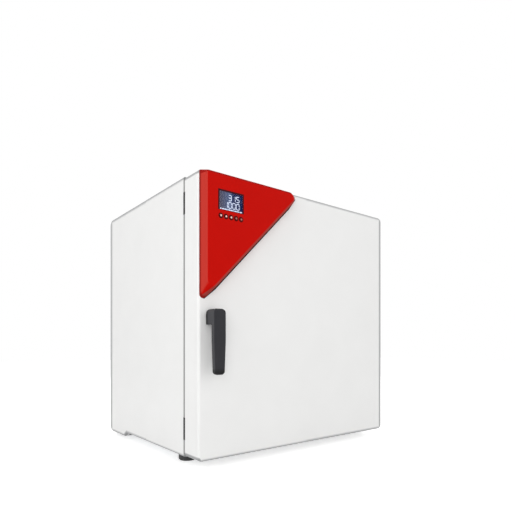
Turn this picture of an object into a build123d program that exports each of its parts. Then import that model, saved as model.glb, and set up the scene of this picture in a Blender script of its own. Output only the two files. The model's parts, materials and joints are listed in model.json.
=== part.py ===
from build123d import *
from math import ceil, cos, radians, sin, sqrt
import os

# Bench drying oven in millimetres. X to the right, Y to the back, Z up, floor at zero.

os.makedirs("parts", exist_ok=True)

# Whole oven
body_width = 710.0
body_depth = 605.0
body_height = 712.0
foot_height = 23.0

# Clearances shared by several pieces
sheet_fit = 0.3
turning_fit = 0.05
pressed_fit = 0.02
loose_fit = 0.5
hole_fit = 0.2
overrun = 1.0

# Painted outer casing
casing_sheet = 1.2
casing_edge_radius = 6.0
rear_corner_radius = 20.0
casing_flange = 16.0
rear_flange = 22.0
skirt_length = 128.0
skirt_ramp = 18.0
skirt_drop = 13.0
skirt_bend = 10.0

# Base and feet
base_sheet = 1.5
foot_radius = 24.0
foot_draft = 3.0
foot_side = 43.0
front_foot_back = 131.0
rear_foot_front = 57.0
foot_bolt_radius = 4.0
foot_bolt_head_radius = 7.0
foot_bolt_head_height = 5.0
foot_bolt_thread = 12.0
foot_bolt_floor = 1.0
rail_sheet = 1.5

# Front frame and chamber liner
frame_sheet = 1.2
frame_return = 18.0
frame_lip_overlap = 7.0
frame_lip_reach = 16.0
chamber_side_space = 100.0
chamber_end_space = 81.0
machine_space = 69.0
chamber_corner = 10.0
liner_sheet = 1.0
liner_flange = 30.0
liner_flange_corner = 14.0
insulation_thickness = 45.0
insulation_corner = 20.0
rear_insulation = 50.0
bulkhead_sheet = 1.0

# Rear panel
rear_panel_sheet = 1.0
rear_panel_margin = 12.0
rear_panel_corner = 8.0
panel_screw_radius = 2.0
panel_screw_head_radius = 4.0
panel_screw_head_height = 2.4
panel_screw_length = 6.0
panel_screw_pitch = 210.0
vent_slot_length = 64.0
vent_slot_width = 5.0
vent_slot_pitch = 13.0
vent_slot_count = 9
vent_group_rise = 277.0
vent_group_inset = 125.0

# Door
door_depth = 69.0
door_gap = 5.0
door_sheet = 1.2
door_corner_radius = 14.0
door_front_radius = 7.0
plug_reach = 12.0
plug_clearance = 6.0
plug_corner = 12.0
gasket_width = 14.0
gasket_nip = 0.3
gasket_round = 2.0

# Hinges on the right, one pin axis for both
hinge_axis_inset = 16.0
hinge_axis_depth = 36.0
hinge_low_rise = 72.5
hinge_high_drop = 68.5
hinge_cup_height = 57.0
hinge_cup_wall = 3.0
hinge_cup_side = 10.0
hinge_cup_reach = 17.0
hinge_pin_radius = 4.0
hinge_bush_wall = 2.0
hinge_bush_flange_radius = 8.0
hinge_bush_flange = 2.0
hinge_arm_width = 12.0
hinge_arm_end_radius = 7.0
hinge_plate_width = 24.0
hinge_plate_height = 48.0
hinge_plate_thickness = 3.0
hinge_screw_radius = 2.5
hinge_screw_head_radius = 4.6
hinge_screw_spacing = 36.0
blanking_width = 20.0
blanking_clearance = 0.7
blanking_corner = 1.5

# Control panel housing, a right-angled triangle in front view
panel_side_inset = 3.0
panel_top_inset = 3.0
panel_leg = 325.0
panel_rise = 28.0
panel_draft = 7.0
panel_corner_radius = 4.0
panel_tip_base_radius = 10.0
panel_tip_front_radius = 18.0
panel_edge_round = 2.5
panel_wall = 2.5
window_left = 39.0
window_top = 49.0
window_width = 74.0
window_height = 49.5
window_corner = 2.0
window_recess = 0.3
window_fit = 0.2
display_border_x = 3.0
display_border_z = 3.0
display_depth = 8.0
board_margin = 6.0
board_below_keys = 12.5
board_thickness = 1.6
board_post_radius = 2.5
board_post_root = 0.5
board_post_inset = 3.0
board_corner = 2.0
chip_side = 24.0
chip_height = 3.0
board_plug_width = 40.0
board_plug_height = 8.0
key_count = 5
key_radius = 4.5
key_pitch = 15.0
key_row_shift = 0.6
key_below_window = 14.8
key_proud = 1.5
key_travel = 1.0
key_collar_radius = 5.5
key_collar = 1.2
key_stem_radius = 1.5
key_round = 0.6

# Lever handle, its spindle and the latch
handle_side_inset = 35.0
handle_below_panel = 29.0
handle_width = 34.0
handle_end_width = 27.5
handle_off_axis = 2.0
handle_reach = 40.0
handle_grip_thickness = 11.5
handle_top = 17.2
handle_hub_below = 21.0
handle_length = 141.7
handle_taper_below = 60.0
handle_round = 2.0
handle_top_round = 7.0
handle_corner_round = 11.0
handle_end_round = 9.0
handle_hub_round = 4.0
handle_inner_round = 3.0
handle_end_cut = 2.5
rose_width = 24.0
rose_height = 28.0
rose_corner = 8.0
rose_thickness = 3.0
spindle_radius = 5.0
spindle_in_hub = 20.0
sleeve_wall = 3.0
latch_pocket_radius = 25.0
latch_pocket_depth = 15.0
latch_pocket_wall = 1.5
cam_reach = 18.0
cam_tip_radius = 4.0
cam_hub_radius = 9.0
cam_thickness = 7.0
cam_into_frame = 4.0

# Air circulation behind the baffle
plenum_depth = 40.0
baffle_sheet = 1.0
baffle_side_gap = 30.0
baffle_end_gap = 20.0
intake_radius = 62.0
intake_hole_radius = 4.0
intake_hole_pitch = 13.0
outlet_slot_width = 6.0
outlet_slot_length = 60.0
outlet_slot_count = 5
outlet_slot_inset = 26.0
fan_radius = 60.0
fan_width = 24.0
fan_sheet = 1.5
fan_hub_radius = 10.0
fan_eye_radius = 42.0
fan_blade_count = 12
fan_behind_baffle = 6.0
shaft_radius = 4.0
shaft_hole_radius = 7.0
shaft_in_motor = 22.0
motor_radius = 38.0
motor_length = 44.0
motor_flange_side = 84.0
motor_flange = 4.0
heater_ring_radius = 88.0
heater_tube_radius = 4.0
heater_bend_radius = 14.0
heater_gap_angle = 16.0
heater_insulator_radius = 7.0
heater_insulator_length = 9.0
heater_pin_length = 6.0

# Shelves and what carries them
carrier_sheet = 1.0
carrier_front_gap = 12.0
carrier_top_space = 60.0
carrier_first_level = 75.0
carrier_level_pitch = 80.0
carrier_ledge = 14.0
carrier_hole_radius = 5.0
carrier_hole_pitch = 40.0
shelf_levels = (1, 3)
shelf_side_fit = 1.2
shelf_rear_gap = 2.0
shelf_slide = 18.0
shelf_stop_gap = 2.0
shelf_corner = 14.0
shelf_frame_radius = 3.0
shelf_wire_radius = 1.5
shelf_wire_pitch = 20.0
shelf_wire_sink = 0.8

# Exhaust duct and flap
duct_side = 0.0
duct_below_chamber_top = 44.0
duct_radius = 27.0
duct_wall = 1.0
duct_reach = 39.0
spigot_radius = 26.0
spigot_shoulder = 2.0
duct_into_plenum = 6.0
duct_collar_radius = 34.0
duct_collar = 2.5
duct_window_margin = 5.0
duct_window_cover = 7.0
duct_flange = 1.2
flap_behind_bulkhead = 34.0
flap_thickness = 1.5
flap_fit = 0.5
flap_shaft_radius = 2.5
flap_shaft_above = 5.0
actuator_width = 44.0
actuator_height = 46.0
actuator_depth = 56.0
actuator_below_collar = 1.0
actuator_bore_depth = 20.0

# Temperature probe
probe_inset = 75.0
probe_below_chamber_top = 64.0
probe_radius = 2.0
probe_into_chamber = 42.0
probe_head_radius = 7.0
probe_head_length = 12.0

# Mains inlet with the rocker switch, and the temperature limiter
inlet_inset = 105.0
inlet_rise = 89.0
inlet_body_width = 32.0
inlet_body_height = 60.0
inlet_body_depth = 28.0
inlet_flange_margin = 6.0
inlet_cut_margin = 3.5
inlet_flange = 3.0
socket_width = 25.0
socket_height = 20.0
socket_depth = 18.0
socket_below = 15.0
socket_corner = 3.0
blade_width = 2.0
blade_height = 4.0
blade_length = 15.0
blade_spacing = 7.0
blade_drop = 1.0
earth_rise = 3.0
rocker_above = 14.0
rocker_opening_width = 22.0
rocker_opening_height = 27.0
rocker_opening_depth = 17.0
rocker_width = 21.0
rocker_half_length = 11.5
rocker_tip_height = 7.0
rocker_dish_height = 4.5
rocker_under = 6.0
rocker_throw = 10.0
rocker_axle_radius = 1.5
rocker_axle_depth = 3.0
rocker_axle_inside = 4.0
limiter_inset = 190.0
limiter_rise = 89.0
limiter_radius = 20.0
limiter_length = 26.0
knob_radius = 16.0
knob_grip_width = 6.0
knob_grip_height = 9.0
knob_base = 6.0
knob_shaft_radius = 3.0
knob_shaft_depth = 16.0
knob_gap = 0.5
knob_chamfer = 1.0
knob_grip_inset = 1.5

# Power board on the bulkhead
power_board_inset = 205.0
power_board_rise = 97.0
power_board_width = 180.0
power_board_tall = 120.0
power_board_thickness = 1.6
power_board_standoff = 8.0
power_board_post_radius = 4.0
power_board_post_inset = 8.0
transformer_size = (48.0, 34.0, 42.0)
transformer_place = (-46.0, -25.0)
filter_size = (40.0, 22.0, 24.0)
filter_place = (-50.0, 32.0)
relay_size = (30.0, 16.0, 20.0)
relay_places = ((19.0, -34.0), (59.0, -34.0))
capacitor_radius = 8.0
capacitor_height = 26.0
capacitor_places = ((0.0, 24.0), (22.0, 24.0), (44.0, 24.0))

# Places worked out from the sizes above
half_width = body_width / 2
door_front = -body_depth / 2
housing_rear = body_depth / 2
body_low = foot_height
body_top = foot_height + body_height
body_mid = (body_low + body_top) / 2
skirt_low = body_low - skirt_drop
door_back = door_front + door_depth
frame_front = door_back + door_gap
frame_back = frame_front + frame_sheet
base_low = body_low + casing_sheet
base_top = base_low + base_sheet
chamber_low = body_low + chamber_end_space
chamber_top = body_top - chamber_end_space
chamber_half = half_width - chamber_side_space
bulkhead_rear = housing_rear - machine_space
insulation_rear_face = bulkhead_rear - bulkhead_sheet
liner_rear = insulation_rear_face - rear_insulation
chamber_rear = liner_rear - liner_sheet
baffle_front = chamber_rear - plenum_depth
rear_panel_front = housing_rear
rear_panel_back = housing_rear + rear_panel_sheet
hinge_x = half_width - hinge_axis_inset
hinge_y = door_front + hinge_axis_depth
hinge_low_height = body_low + hinge_low_rise
hinge_high_height = body_top - hinge_high_drop
hinge_heights = (hinge_low_height, hinge_high_height)
panel_left = -half_width + panel_side_inset
panel_top = body_top - panel_top_inset
panel_front = door_front - panel_rise
panel_inner_front = panel_front + panel_wall
window_x = -half_width + window_left + window_width / 2
window_z = body_top - window_top - window_height / 2
key_z = window_z - window_height / 2 - key_below_window
board_front = panel_inner_front + display_depth
handle_x = -half_width + handle_side_inset
handle_height = panel_top - panel_leg - handle_below_panel
handle_front = door_front - handle_reach
handle_grip_back = handle_front + handle_grip_thickness
rose_front = door_front - rose_thickness
cam_front = frame_front + cam_into_frame
cam_back = cam_front + cam_thickness
duct_height = chamber_top - duct_below_chamber_top
duct_back = rear_panel_back + duct_reach
spigot_front = rear_panel_back + spigot_shoulder
probe_side = chamber_half - probe_inset
probe_height = chamber_top - probe_below_chamber_top
flap_y = bulkhead_rear + flap_behind_bulkhead
carrier_level_room = chamber_top - chamber_low - carrier_first_level - carrier_top_space
carrier_level_count = 1 + int(carrier_level_room // carrier_level_pitch)
vent_group_side = half_width - vent_group_inset
vent_group_height = body_low + vent_group_rise
inlet_side = half_width - inlet_inset
inlet_height = body_low + inlet_rise
limiter_side = half_width - limiter_inset
limiter_height = body_low + limiter_rise
power_board_side = power_board_inset - half_width
power_board_height = body_low + power_board_rise


def save(name, shape):
    """Write one sub-part under its own name."""
    export_step(shape, f"parts/{name}.step")


def block(x_low, x_high, y_low, y_high, z_low, z_high):
    """Box given by its low and high sides."""
    middle = Pos((x_low + x_high) / 2, (y_low + y_high) / 2, (z_low + z_high) / 2)
    return middle * Box(x_high - x_low, y_high - y_low, z_high - z_low)


def face_on(sketch, y_low, y_high):
    """Sketch drawn in front view, made thick from y_low to y_high."""
    return Pos(0, y_high, 0) * Rot(90, 0, 0) * extrude(sketch, y_high - y_low)


def slab(x_low, x_high, y_low, y_high, z_low, z_high, radius):
    """Plate in front view with rounded corners."""
    middle = Pos((x_low + x_high) / 2, (z_low + z_high) / 2)
    return face_on(middle * RectangleRounded(x_high - x_low, z_high - z_low, radius), y_low, y_high)


def rod_y(x, z, y_low, y_high, radius):
    """Round bar from front to back."""
    return Pos(x, (y_low + y_high) / 2, z) * Rot(90, 0, 0) * Cylinder(radius, y_high - y_low)


def rod_z(x, y, z_low, z_high, radius):
    """Upright round bar."""
    return Pos(x, y, (z_low + z_high) / 2) * Cylinder(radius, z_high - z_low)


def rod_x(y, z, x_low, x_high, radius):
    """Round bar from left to right."""
    return Pos((x_low + x_high) / 2, y, z) * Rot(0, 90, 0) * Cylinder(radius, x_high - x_low)


def tube_y(x, z, y_low, y_high, outer, inner):
    """Straight pipe from front to back."""
    return rod_y(x, z, y_low, y_high, outer) - rod_y(x, z, y_low, y_high, inner)


def spread(low, high, widest_pitch):
    """Evenly spaced places from low to high, no further apart than widest_pitch."""
    gaps = max(1, ceil((high - low) / widest_pitch))
    return [low + (high - low) * step / gaps for step in range(gaps + 1)]


def group(solids):
    """Separate solids kept in one node."""
    return Compound(children=[solid.solid() for solid in solids])


def hinge_screw_places():
    """Height of each bracket screw."""
    half = hinge_screw_spacing / 2
    return [height + offset for height in hinge_heights for offset in (-half, half)]


def foot_places():
    """Name, x, y and seat height of each foot."""
    side = half_width - foot_side
    front = door_front + front_foot_back
    rear = housing_rear - rear_foot_front
    rail_seat = skirt_low + casing_sheet
    return [
        ("front_left", -side, front, base_low),
        ("front_right", side, front, base_low),
        ("rear_left", -side, rear, rail_seat),
        ("rear_right", side, rear, rail_seat),
    ]


def panel_screw_places():
    """Front-view places of the rear panel's screws, in the middle of its overlap."""
    overlap = (rear_flange + rear_panel_margin) / 2
    side = half_width - overlap
    low = body_low + overlap
    high = body_top - overlap
    columns = [(x, z) for x in (-side, side) for z in spread(low, high, panel_screw_pitch)]
    rows = [(x, z) for z in (low, high) for x in spread(-side, side, panel_screw_pitch)[1:-1]]
    return columns + rows


def key_places():
    """Middle of each key along the row."""
    first = window_x + key_row_shift - key_pitch * (key_count - 1) / 2
    return [first + key_pitch * step for step in range(key_count)]


def heater_pin_places():
    """Front-view places where the heater passes the rear wall."""
    half_gap = radians(heater_gap_angle)
    places = []
    for side in (-1, 1):
        x = side * (heater_ring_radius * sin(half_gap) - heater_bend_radius * cos(half_gap))
        z = body_mid - heater_ring_radius * cos(half_gap) - heater_bend_radius * sin(half_gap)
        places.append((x, z))
    return places


def wall_passages(clearance, y_low, y_high):
    """Holes for what passes through the rear wall and the layers behind it."""
    holes = [rod_y(0, body_mid, y_low, y_high, shaft_hole_radius)]
    holes.append(rod_y(duct_side, duct_height, y_low, y_high, duct_radius + clearance))
    holes.append(rod_y(probe_side, probe_height, y_low, y_high, probe_radius + clearance))
    for x, z in heater_pin_places():
        holes.append(rod_y(x, z, y_low, y_high, heater_tube_radius + clearance))
    return holes


def side_outline(front):
    """Side view of the housing: rounded rear corners and a skirt that drops at the rear."""
    ramp_start = housing_rear - skirt_length - skirt_ramp
    corners = [
        (front, body_low),
        (ramp_start, body_low),
        (ramp_start + skirt_ramp, skirt_low),
        (housing_rear, skirt_low),
        (housing_rear, body_top),
        (front, body_top),
    ]
    outline = make_face(Polyline(*corners, close=True))
    bends = outline.vertices().filter_by(lambda v: front + 1 < v.X < housing_rear - 1)
    outline = fillet(bends, skirt_bend)
    rear_corners = outline.vertices().filter_by(lambda v: v.X > housing_rear - 0.01)
    return fillet(rear_corners, rear_corner_radius)


def casing_block(inset):
    """Rounded body of the housing, moved in by inset on every side."""
    half = half_width - inset
    front = frame_front - 2 * inset
    outline = side_outline(front)
    if inset > 0:
        outline = offset(outline, -inset)
        front += inset
    body = extrude(Plane.YZ.offset(-half) * outline, 2 * half)
    long_edges = body.edges().filter_by(
        lambda e: abs(abs(e.center().X) - half) < 0.01 and e.center().Y > front + 1
    )
    return fillet(long_edges, casing_edge_radius - inset)


def make_outer_casing():
    casing = casing_block(0) - casing_block(casing_sheet)
    side = half_width - rear_flange
    casing -= block(
        -side, side, housing_rear - 2 * casing_sheet, housing_rear + overrun,
        body_low + rear_flange, body_top - rear_flange,
    )
    side = half_width - casing_flange
    casing -= block(
        -side, side, frame_front - overrun, housing_rear - casing_flange,
        skirt_low - overrun, body_low + 2 * casing_sheet,
    )
    radius = panel_screw_radius + hole_fit
    holes = [
        rod_y(x, z, housing_rear - 2 * casing_sheet, housing_rear + overrun, radius)
        for x, z in panel_screw_places()
    ]
    return casing - holes


def base_pan_back():
    """Rear edge of the base pan, just inside the casing's rounded lower corner."""
    inner = rear_corner_radius - casing_sheet
    below = max(0, skirt_low + rear_corner_radius - base_low)
    return housing_rear - rear_corner_radius + sqrt(inner * inner - below * below) - sheet_fit


def make_base_pan():
    side = half_width - casing_edge_radius - sheet_fit
    front = frame_front + frame_return + loose_fit
    pan = block(-side, side, front, base_pan_back(), base_low, base_top)
    for name, x, y, seat in foot_places():
        if seat == base_low:
            pan -= rod_z(x, y, base_low - overrun, base_top + overrun, foot_bolt_radius + hole_fit)
    return pan


def make_rear_base_rail():
    side = half_width - casing_edge_radius - sheet_fit
    front = housing_rear - skirt_length + skirt_bend
    back = housing_rear - rear_corner_radius
    low = skirt_low + casing_sheet
    rail = block(-side, side, front, back, low, base_low)
    rail -= block(
        -side - overrun, side + overrun, front + rail_sheet, back - rail_sheet,
        low + rail_sheet, base_low + overrun,
    )
    for name, x, y, seat in foot_places():
        if seat != base_low:
            rail -= rod_z(x, y, low - overrun, low + rail_sheet + overrun, foot_bolt_radius + hole_fit)
    return rail


def make_foot(x, y, seat):
    foot = rod_z(x, y, 0, seat, foot_radius)
    rim = foot.edges().filter_by(GeomType.CIRCLE).sort_by(Axis.Z)[0]
    foot = chamfer(rim, foot_draft)
    thread = min(foot_bolt_thread, seat - foot_draft - foot_bolt_floor)
    return foot - rod_z(x, y, seat - thread - loose_fit, seat + overrun, foot_bolt_radius + pressed_fit)


def make_foot_screws():
    screws = []
    for name, x, y, seat in foot_places():
        plate = base_sheet if seat == base_low else rail_sheet
        thread = min(foot_bolt_thread, seat - foot_draft - foot_bolt_floor)
        head_low = seat + plate
        head = rod_z(x, y, head_low, head_low + foot_bolt_head_height, foot_bolt_head_radius)
        screws.append(head + rod_z(x, y, seat - thread, head_low, foot_bolt_radius))
    return group(screws)


def make_front_frame():
    inset = casing_sheet + sheet_fit
    side = half_width - inset
    low = body_low + inset
    high = body_top - inset
    radius = casing_edge_radius - inset
    inner = inset + frame_sheet
    frame = slab(-side, side, frame_front, frame_front + frame_return, low, high, radius)
    frame -= slab(
        -half_width + inner, half_width - inner, frame_back, frame_front + frame_return + overrun,
        body_low + inner, body_top - inner, radius - frame_sheet,
    )
    lip_outer = liner_flange + frame_lip_overlap
    lip_back = frame_back + frame_sheet
    frame += slab(
        -chamber_half - lip_outer, chamber_half + lip_outer, frame_back, lip_back,
        chamber_low - lip_outer, chamber_top + lip_outer, liner_flange_corner + frame_lip_overlap,
    )
    mouth = liner_flange + sheet_fit
    frame -= slab(
        -chamber_half - mouth, chamber_half + mouth, frame_front - overrun, frame_front + liner_sheet,
        chamber_low - mouth, chamber_top + mouth, liner_flange_corner + sheet_fit,
    )
    lip_inner = liner_flange + frame_lip_overlap - frame_lip_reach
    frame -= slab(
        -chamber_half - lip_inner, chamber_half + lip_inner, frame_front, lip_back + overrun,
        chamber_low - lip_inner, chamber_top + lip_inner, liner_flange_corner,
    )
    frame -= rod_y(handle_x, handle_height, frame_front - overrun, lip_back + overrun, latch_pocket_radius)
    radius = hinge_screw_radius + hole_fit
    holes = [
        rod_y(hinge_x, z, frame_front - overrun, lip_back + overrun, radius)
        for z in hinge_screw_places()
    ]
    return frame - holes


def make_strike_cup():
    outer = latch_pocket_radius + latch_pocket_wall
    back = frame_back + latch_pocket_depth
    cup = rod_y(handle_x, handle_height, frame_back, back + latch_pocket_wall, outer)
    return cup - rod_y(handle_x, handle_height, frame_back - overrun, back, latch_pocket_radius)


def make_chamber_liner():
    outer = liner_sheet
    liner = slab(
        -chamber_half - outer, chamber_half + outer, frame_front, liner_rear,
        chamber_low - outer, chamber_top + outer, chamber_corner + outer,
    )
    liner += slab(
        -chamber_half - liner_flange, chamber_half + liner_flange,
        frame_front, frame_front + liner_sheet,
        chamber_low - liner_flange, chamber_top + liner_flange, liner_flange_corner,
    )
    liner -= slab(
        -chamber_half, chamber_half, frame_front - overrun, chamber_rear,
        chamber_low, chamber_top, chamber_corner,
    )
    return liner - wall_passages(hole_fit, chamber_rear - overrun, liner_rear + overrun)


def make_insulation_jacket():
    outer = liner_sheet + sheet_fit + insulation_thickness
    gap = liner_sheet + sheet_fit
    front = frame_front + frame_return + loose_fit
    jacket = slab(
        -chamber_half - outer, chamber_half + outer, front, liner_rear,
        chamber_low - outer, chamber_top + outer, insulation_corner,
    )
    return jacket - slab(
        -chamber_half - gap, chamber_half + gap, front - overrun, liner_rear + overrun,
        chamber_low - gap, chamber_top + gap, chamber_corner + gap,
    )


def make_insulation_rear():
    outer = liner_sheet + sheet_fit + insulation_thickness
    layer = slab(
        -chamber_half - outer, chamber_half + outer, liner_rear, insulation_rear_face,
        chamber_low - outer, chamber_top + outer, insulation_corner,
    )
    return layer - wall_passages(loose_fit, liner_rear - overrun, insulation_rear_face + overrun)


def make_rear_bulkhead():
    side = half_width - casing_edge_radius - sheet_fit
    high = body_top - casing_edge_radius - sheet_fit
    plate = block(-side, side, insulation_rear_face, bulkhead_rear, base_top, high)
    return plate - wall_passages(hole_fit, insulation_rear_face - overrun, bulkhead_rear + overrun)


def vent_slots(y_low, y_high):
    slots = []
    for side in (-vent_group_side, vent_group_side):
        for step in range(vent_slot_count):
            z = vent_group_height + step * vent_slot_pitch
            slot = Pos(side, z) * SlotOverall(vent_slot_length, vent_slot_width)
            slots.append(face_on(slot, y_low, y_high))
    return slots


def make_rear_panel():
    side = half_width - rear_panel_margin
    panel = slab(
        -side, side, rear_panel_front, rear_panel_back,
        body_low + rear_panel_margin, body_top - rear_panel_margin, rear_panel_corner,
    )
    front = rear_panel_front - overrun
    back = rear_panel_back + overrun
    cuts = vent_slots(front, back)
    window = duct_radius + duct_window_margin
    cuts.append(block(
        duct_side - window, duct_side + window, front, back, duct_height - window, duct_height + window
    ))
    cuts.append(rod_y(limiter_side, limiter_height, front, back, knob_shaft_radius + hole_fit))
    half = inlet_body_width / 2 + inlet_cut_margin
    tall = inlet_body_height / 2 + inlet_cut_margin
    cuts.append(block(
        inlet_side - half, inlet_side + half, front, back, inlet_height - tall, inlet_height + tall
    ))
    for x, z in panel_screw_places():
        cuts.append(rod_y(x, z, front, back, panel_screw_radius + hole_fit))
    return panel - cuts


def make_rear_panel_screws():
    screws = []
    for x, z in panel_screw_places():
        head_back = rear_panel_back + panel_screw_head_height
        head = rod_y(x, z, rear_panel_back, head_back, panel_screw_head_radius)
        tip = head_back - panel_screw_length
        screws.append(head + rod_y(x, z, tip, rear_panel_back, panel_screw_radius))
    return group(screws)


def door_block(inset, back):
    """Door body with rounded corners and a rounded front edge."""
    side = half_width - inset
    front = door_front + inset
    body = slab(
        -side, side, front, back, body_low + inset, body_top - inset, door_corner_radius - inset
    )
    rim = body.edges().filter_by(lambda e: abs(e.center().Y - front) < 0.01)
    return fillet(rim, door_front_radius - inset)


def hinge_mouth(height, clearance):
    """Space in the door through which a bracket arm swings."""
    half = hinge_cup_height / 2 - hinge_cup_wall + clearance
    return block(
        hinge_x - hinge_cup_side - clearance, half_width + overrun,
        hinge_y - hinge_cup_reach - clearance, door_back + overrun, height - half, height + half,
    )


def hinge_cup_body(height, clearance):
    """Outside of a hinge cup."""
    half = hinge_cup_height / 2 + clearance
    wall = hinge_cup_wall + clearance
    return block(
        hinge_x - hinge_cup_side - wall, half_width - door_sheet + clearance,
        hinge_y - hinge_cup_reach - wall, door_back - door_sheet + clearance,
        height - half, height + half,
    )


def make_door_shell():
    shell = door_block(0, door_back) - door_block(door_sheet, door_back + overrun)
    sleeve = spindle_radius + sleeve_wall + hole_fit
    shell -= rod_y(handle_x, handle_height, door_front - overrun, door_back, sleeve)
    for height in hinge_heights:
        shell -= hinge_mouth(height, 0)
    return shell


def make_door_inner_panel():
    inset = door_sheet + sheet_fit
    side = half_width - inset
    front = door_back - door_sheet
    plug = plug_clearance
    plug_back = frame_front + plug_reach
    panel = slab(
        -side, side, front, door_back, body_low + inset, body_top - inset, door_corner_radius - inset
    )
    panel += slab(
        -chamber_half + plug, chamber_half - plug, front, plug_back,
        chamber_low + plug, chamber_top - plug, plug_corner,
    )
    hollow = plug + door_sheet
    panel -= slab(
        -chamber_half + hollow, chamber_half - hollow, front - overrun, plug_back - door_sheet,
        chamber_low + hollow, chamber_top - hollow, plug_corner - door_sheet,
    )
    sleeve = spindle_radius + sleeve_wall + hole_fit
    panel -= rod_y(handle_x, handle_height, front - overrun, door_back + overrun, sleeve)
    for height in hinge_heights:
        panel -= hinge_mouth(height, 0)
    return panel


def make_door_insulation():
    inset = door_sheet + door_front_radius
    side = half_width - inset
    back = door_back - door_sheet - sheet_fit
    filling = slab(
        -side, side, door_front + door_sheet, back,
        body_low + inset, body_top - inset, door_corner_radius - door_sheet,
    )
    sleeve = spindle_radius + sleeve_wall + loose_fit
    filling -= rod_y(handle_x, handle_height, door_front, door_back, sleeve)
    for height in hinge_heights:
        filling -= hinge_cup_body(height, loose_fit)
        filling -= rod_z(
            hinge_x, hinge_y, height - hinge_cup_height / 2 - loose_fit - pin_overhang(),
            height + hinge_cup_height / 2 + loose_fit + pin_overhang(), hinge_bush_flange_radius,
        )
    return filling


def pin_overhang():
    """How far a hinge pin stands out of its cup."""
    return 2 * loose_fit


def make_door_gasket():
    middle = liner_flange / 2
    outer = middle + gasket_width / 2
    inner = middle - gasket_width / 2
    back = frame_front - gasket_nip
    ring = slab(
        -chamber_half - outer, chamber_half + outer, door_back, back,
        chamber_low - outer, chamber_top + outer, chamber_corner + outer,
    )
    ring -= slab(
        -chamber_half - inner, chamber_half + inner, door_back - overrun, back + overrun,
        chamber_low - inner, chamber_top + inner, chamber_corner + inner,
    )
    rim = ring.edges().filter_by(lambda e: abs(e.center().Y - back) < 0.01)
    return fillet(rim, gasket_round)


def make_hinge_bracket(height):
    half_plate = hinge_plate_width / 2
    half_tall = hinge_plate_height / 2
    bracket = slab(
        hinge_x - half_plate, hinge_x + half_plate, frame_front - hinge_plate_thickness, frame_front,
        height - half_tall, height + half_tall, hinge_plate_thickness,
    )
    plate_front = frame_front - hinge_plate_thickness - overrun
    for z in (height - hinge_screw_spacing / 2, height + hinge_screw_spacing / 2):
        head = hinge_screw_head_radius + hole_fit
        bracket -= rod_y(hinge_x, z, plate_front, frame_front + overrun, hinge_screw_radius + hole_fit)
        seat = frame_front - hinge_plate_thickness / 2
        bracket -= rod_y(hinge_x, z, plate_front, seat, head)
    arm_half = hinge_screw_spacing / 2 - hinge_screw_head_radius - 2 * loose_fit
    half_arm = hinge_arm_width / 2
    arm = block(
        hinge_x - half_arm, hinge_x + half_arm, hinge_y, frame_front - hinge_plate_thickness,
        height - arm_half, height + arm_half,
    )
    low = height - arm_half
    high = height + arm_half
    arm += rod_z(hinge_x, hinge_y, low, high, hinge_arm_end_radius)
    arm -= rod_z(hinge_x, hinge_y, low - overrun, high + overrun, hinge_pin_radius + pressed_fit)
    return bracket + arm


def make_hinge_pins():
    half = hinge_cup_height / 2 + pin_overhang() / 2
    return group([
        rod_z(hinge_x, hinge_y, height - half, height + half, hinge_pin_radius)
        for height in hinge_heights
    ])


def make_hinge_bracket_screws():
    screws = []
    for z in hinge_screw_places():
        seat = frame_front - hinge_plate_thickness / 2
        head = rod_y(hinge_x, z, frame_front - hinge_plate_thickness, seat, hinge_screw_head_radius)
        shank = rod_y(hinge_x, z, seat, frame_back + panel_screw_length, hinge_screw_radius)
        screws.append(head + shank)
    return group(screws)


def make_hinge_cup(height):
    cup = hinge_cup_body(height, 0) - hinge_mouth(height, 0)
    bush = hinge_pin_radius + turning_fit + hinge_bush_wall + pressed_fit
    half = hinge_cup_height
    return cup - rod_z(hinge_x, hinge_y, height - half, height + half, bush)


def make_hinge_bushes():
    bushes = []
    inner = hinge_pin_radius + turning_fit
    outer = inner + hinge_bush_wall
    for height in hinge_heights:
        for side in (-1, 1):
            far = height + side * hinge_cup_height / 2
            wall = far - side * hinge_cup_wall
            near = wall - side * hinge_bush_flange
            body = rod_z(hinge_x, hinge_y, min(far, wall), max(far, wall), outer)
            flange = rod_z(hinge_x, hinge_y, min(wall, near), max(wall, near), hinge_bush_flange_radius)
            bore = rod_z(hinge_x, hinge_y, min(far, near) - overrun, max(far, near) + overrun, inner)
            bushes.append(body + flange - bore)
    return group(bushes)


def make_hinge_blanking_plates():
    plates = []
    for height in hinge_heights:
        half = hinge_cup_height / 2
        left = -half_width + sheet_fit
        plates.append(slab(
            left, left + blanking_width, door_back + blanking_clearance, frame_front,
            height - half, height + half, blanking_corner,
        ))
    return group(plates)


def triangle(inset, tip_radius):
    """Front view of the control panel with its three sides moved in by inset."""
    leg = panel_leg - inset * (2 + sqrt(2))
    left = panel_left + inset
    top = panel_top - inset
    face = make_face(Polyline((left, top), (left, top - leg), (left + leg, top), close=True))
    tips = face.vertices().filter_by(lambda v: v.X - left > leg / 2 or top - v.Y > leg / 2)
    face = fillet(tips, tip_radius)
    corner = face.vertices().sort_by(lambda v: v.X - v.Y)[0]
    return fillet(corner, panel_corner_radius)


def front_plane(y):
    """Plane in front view at depth y, facing the viewer."""
    return Plane(origin=(0, y, 0), x_dir=(1, 0, 0), z_dir=(0, -1, 0))


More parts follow.
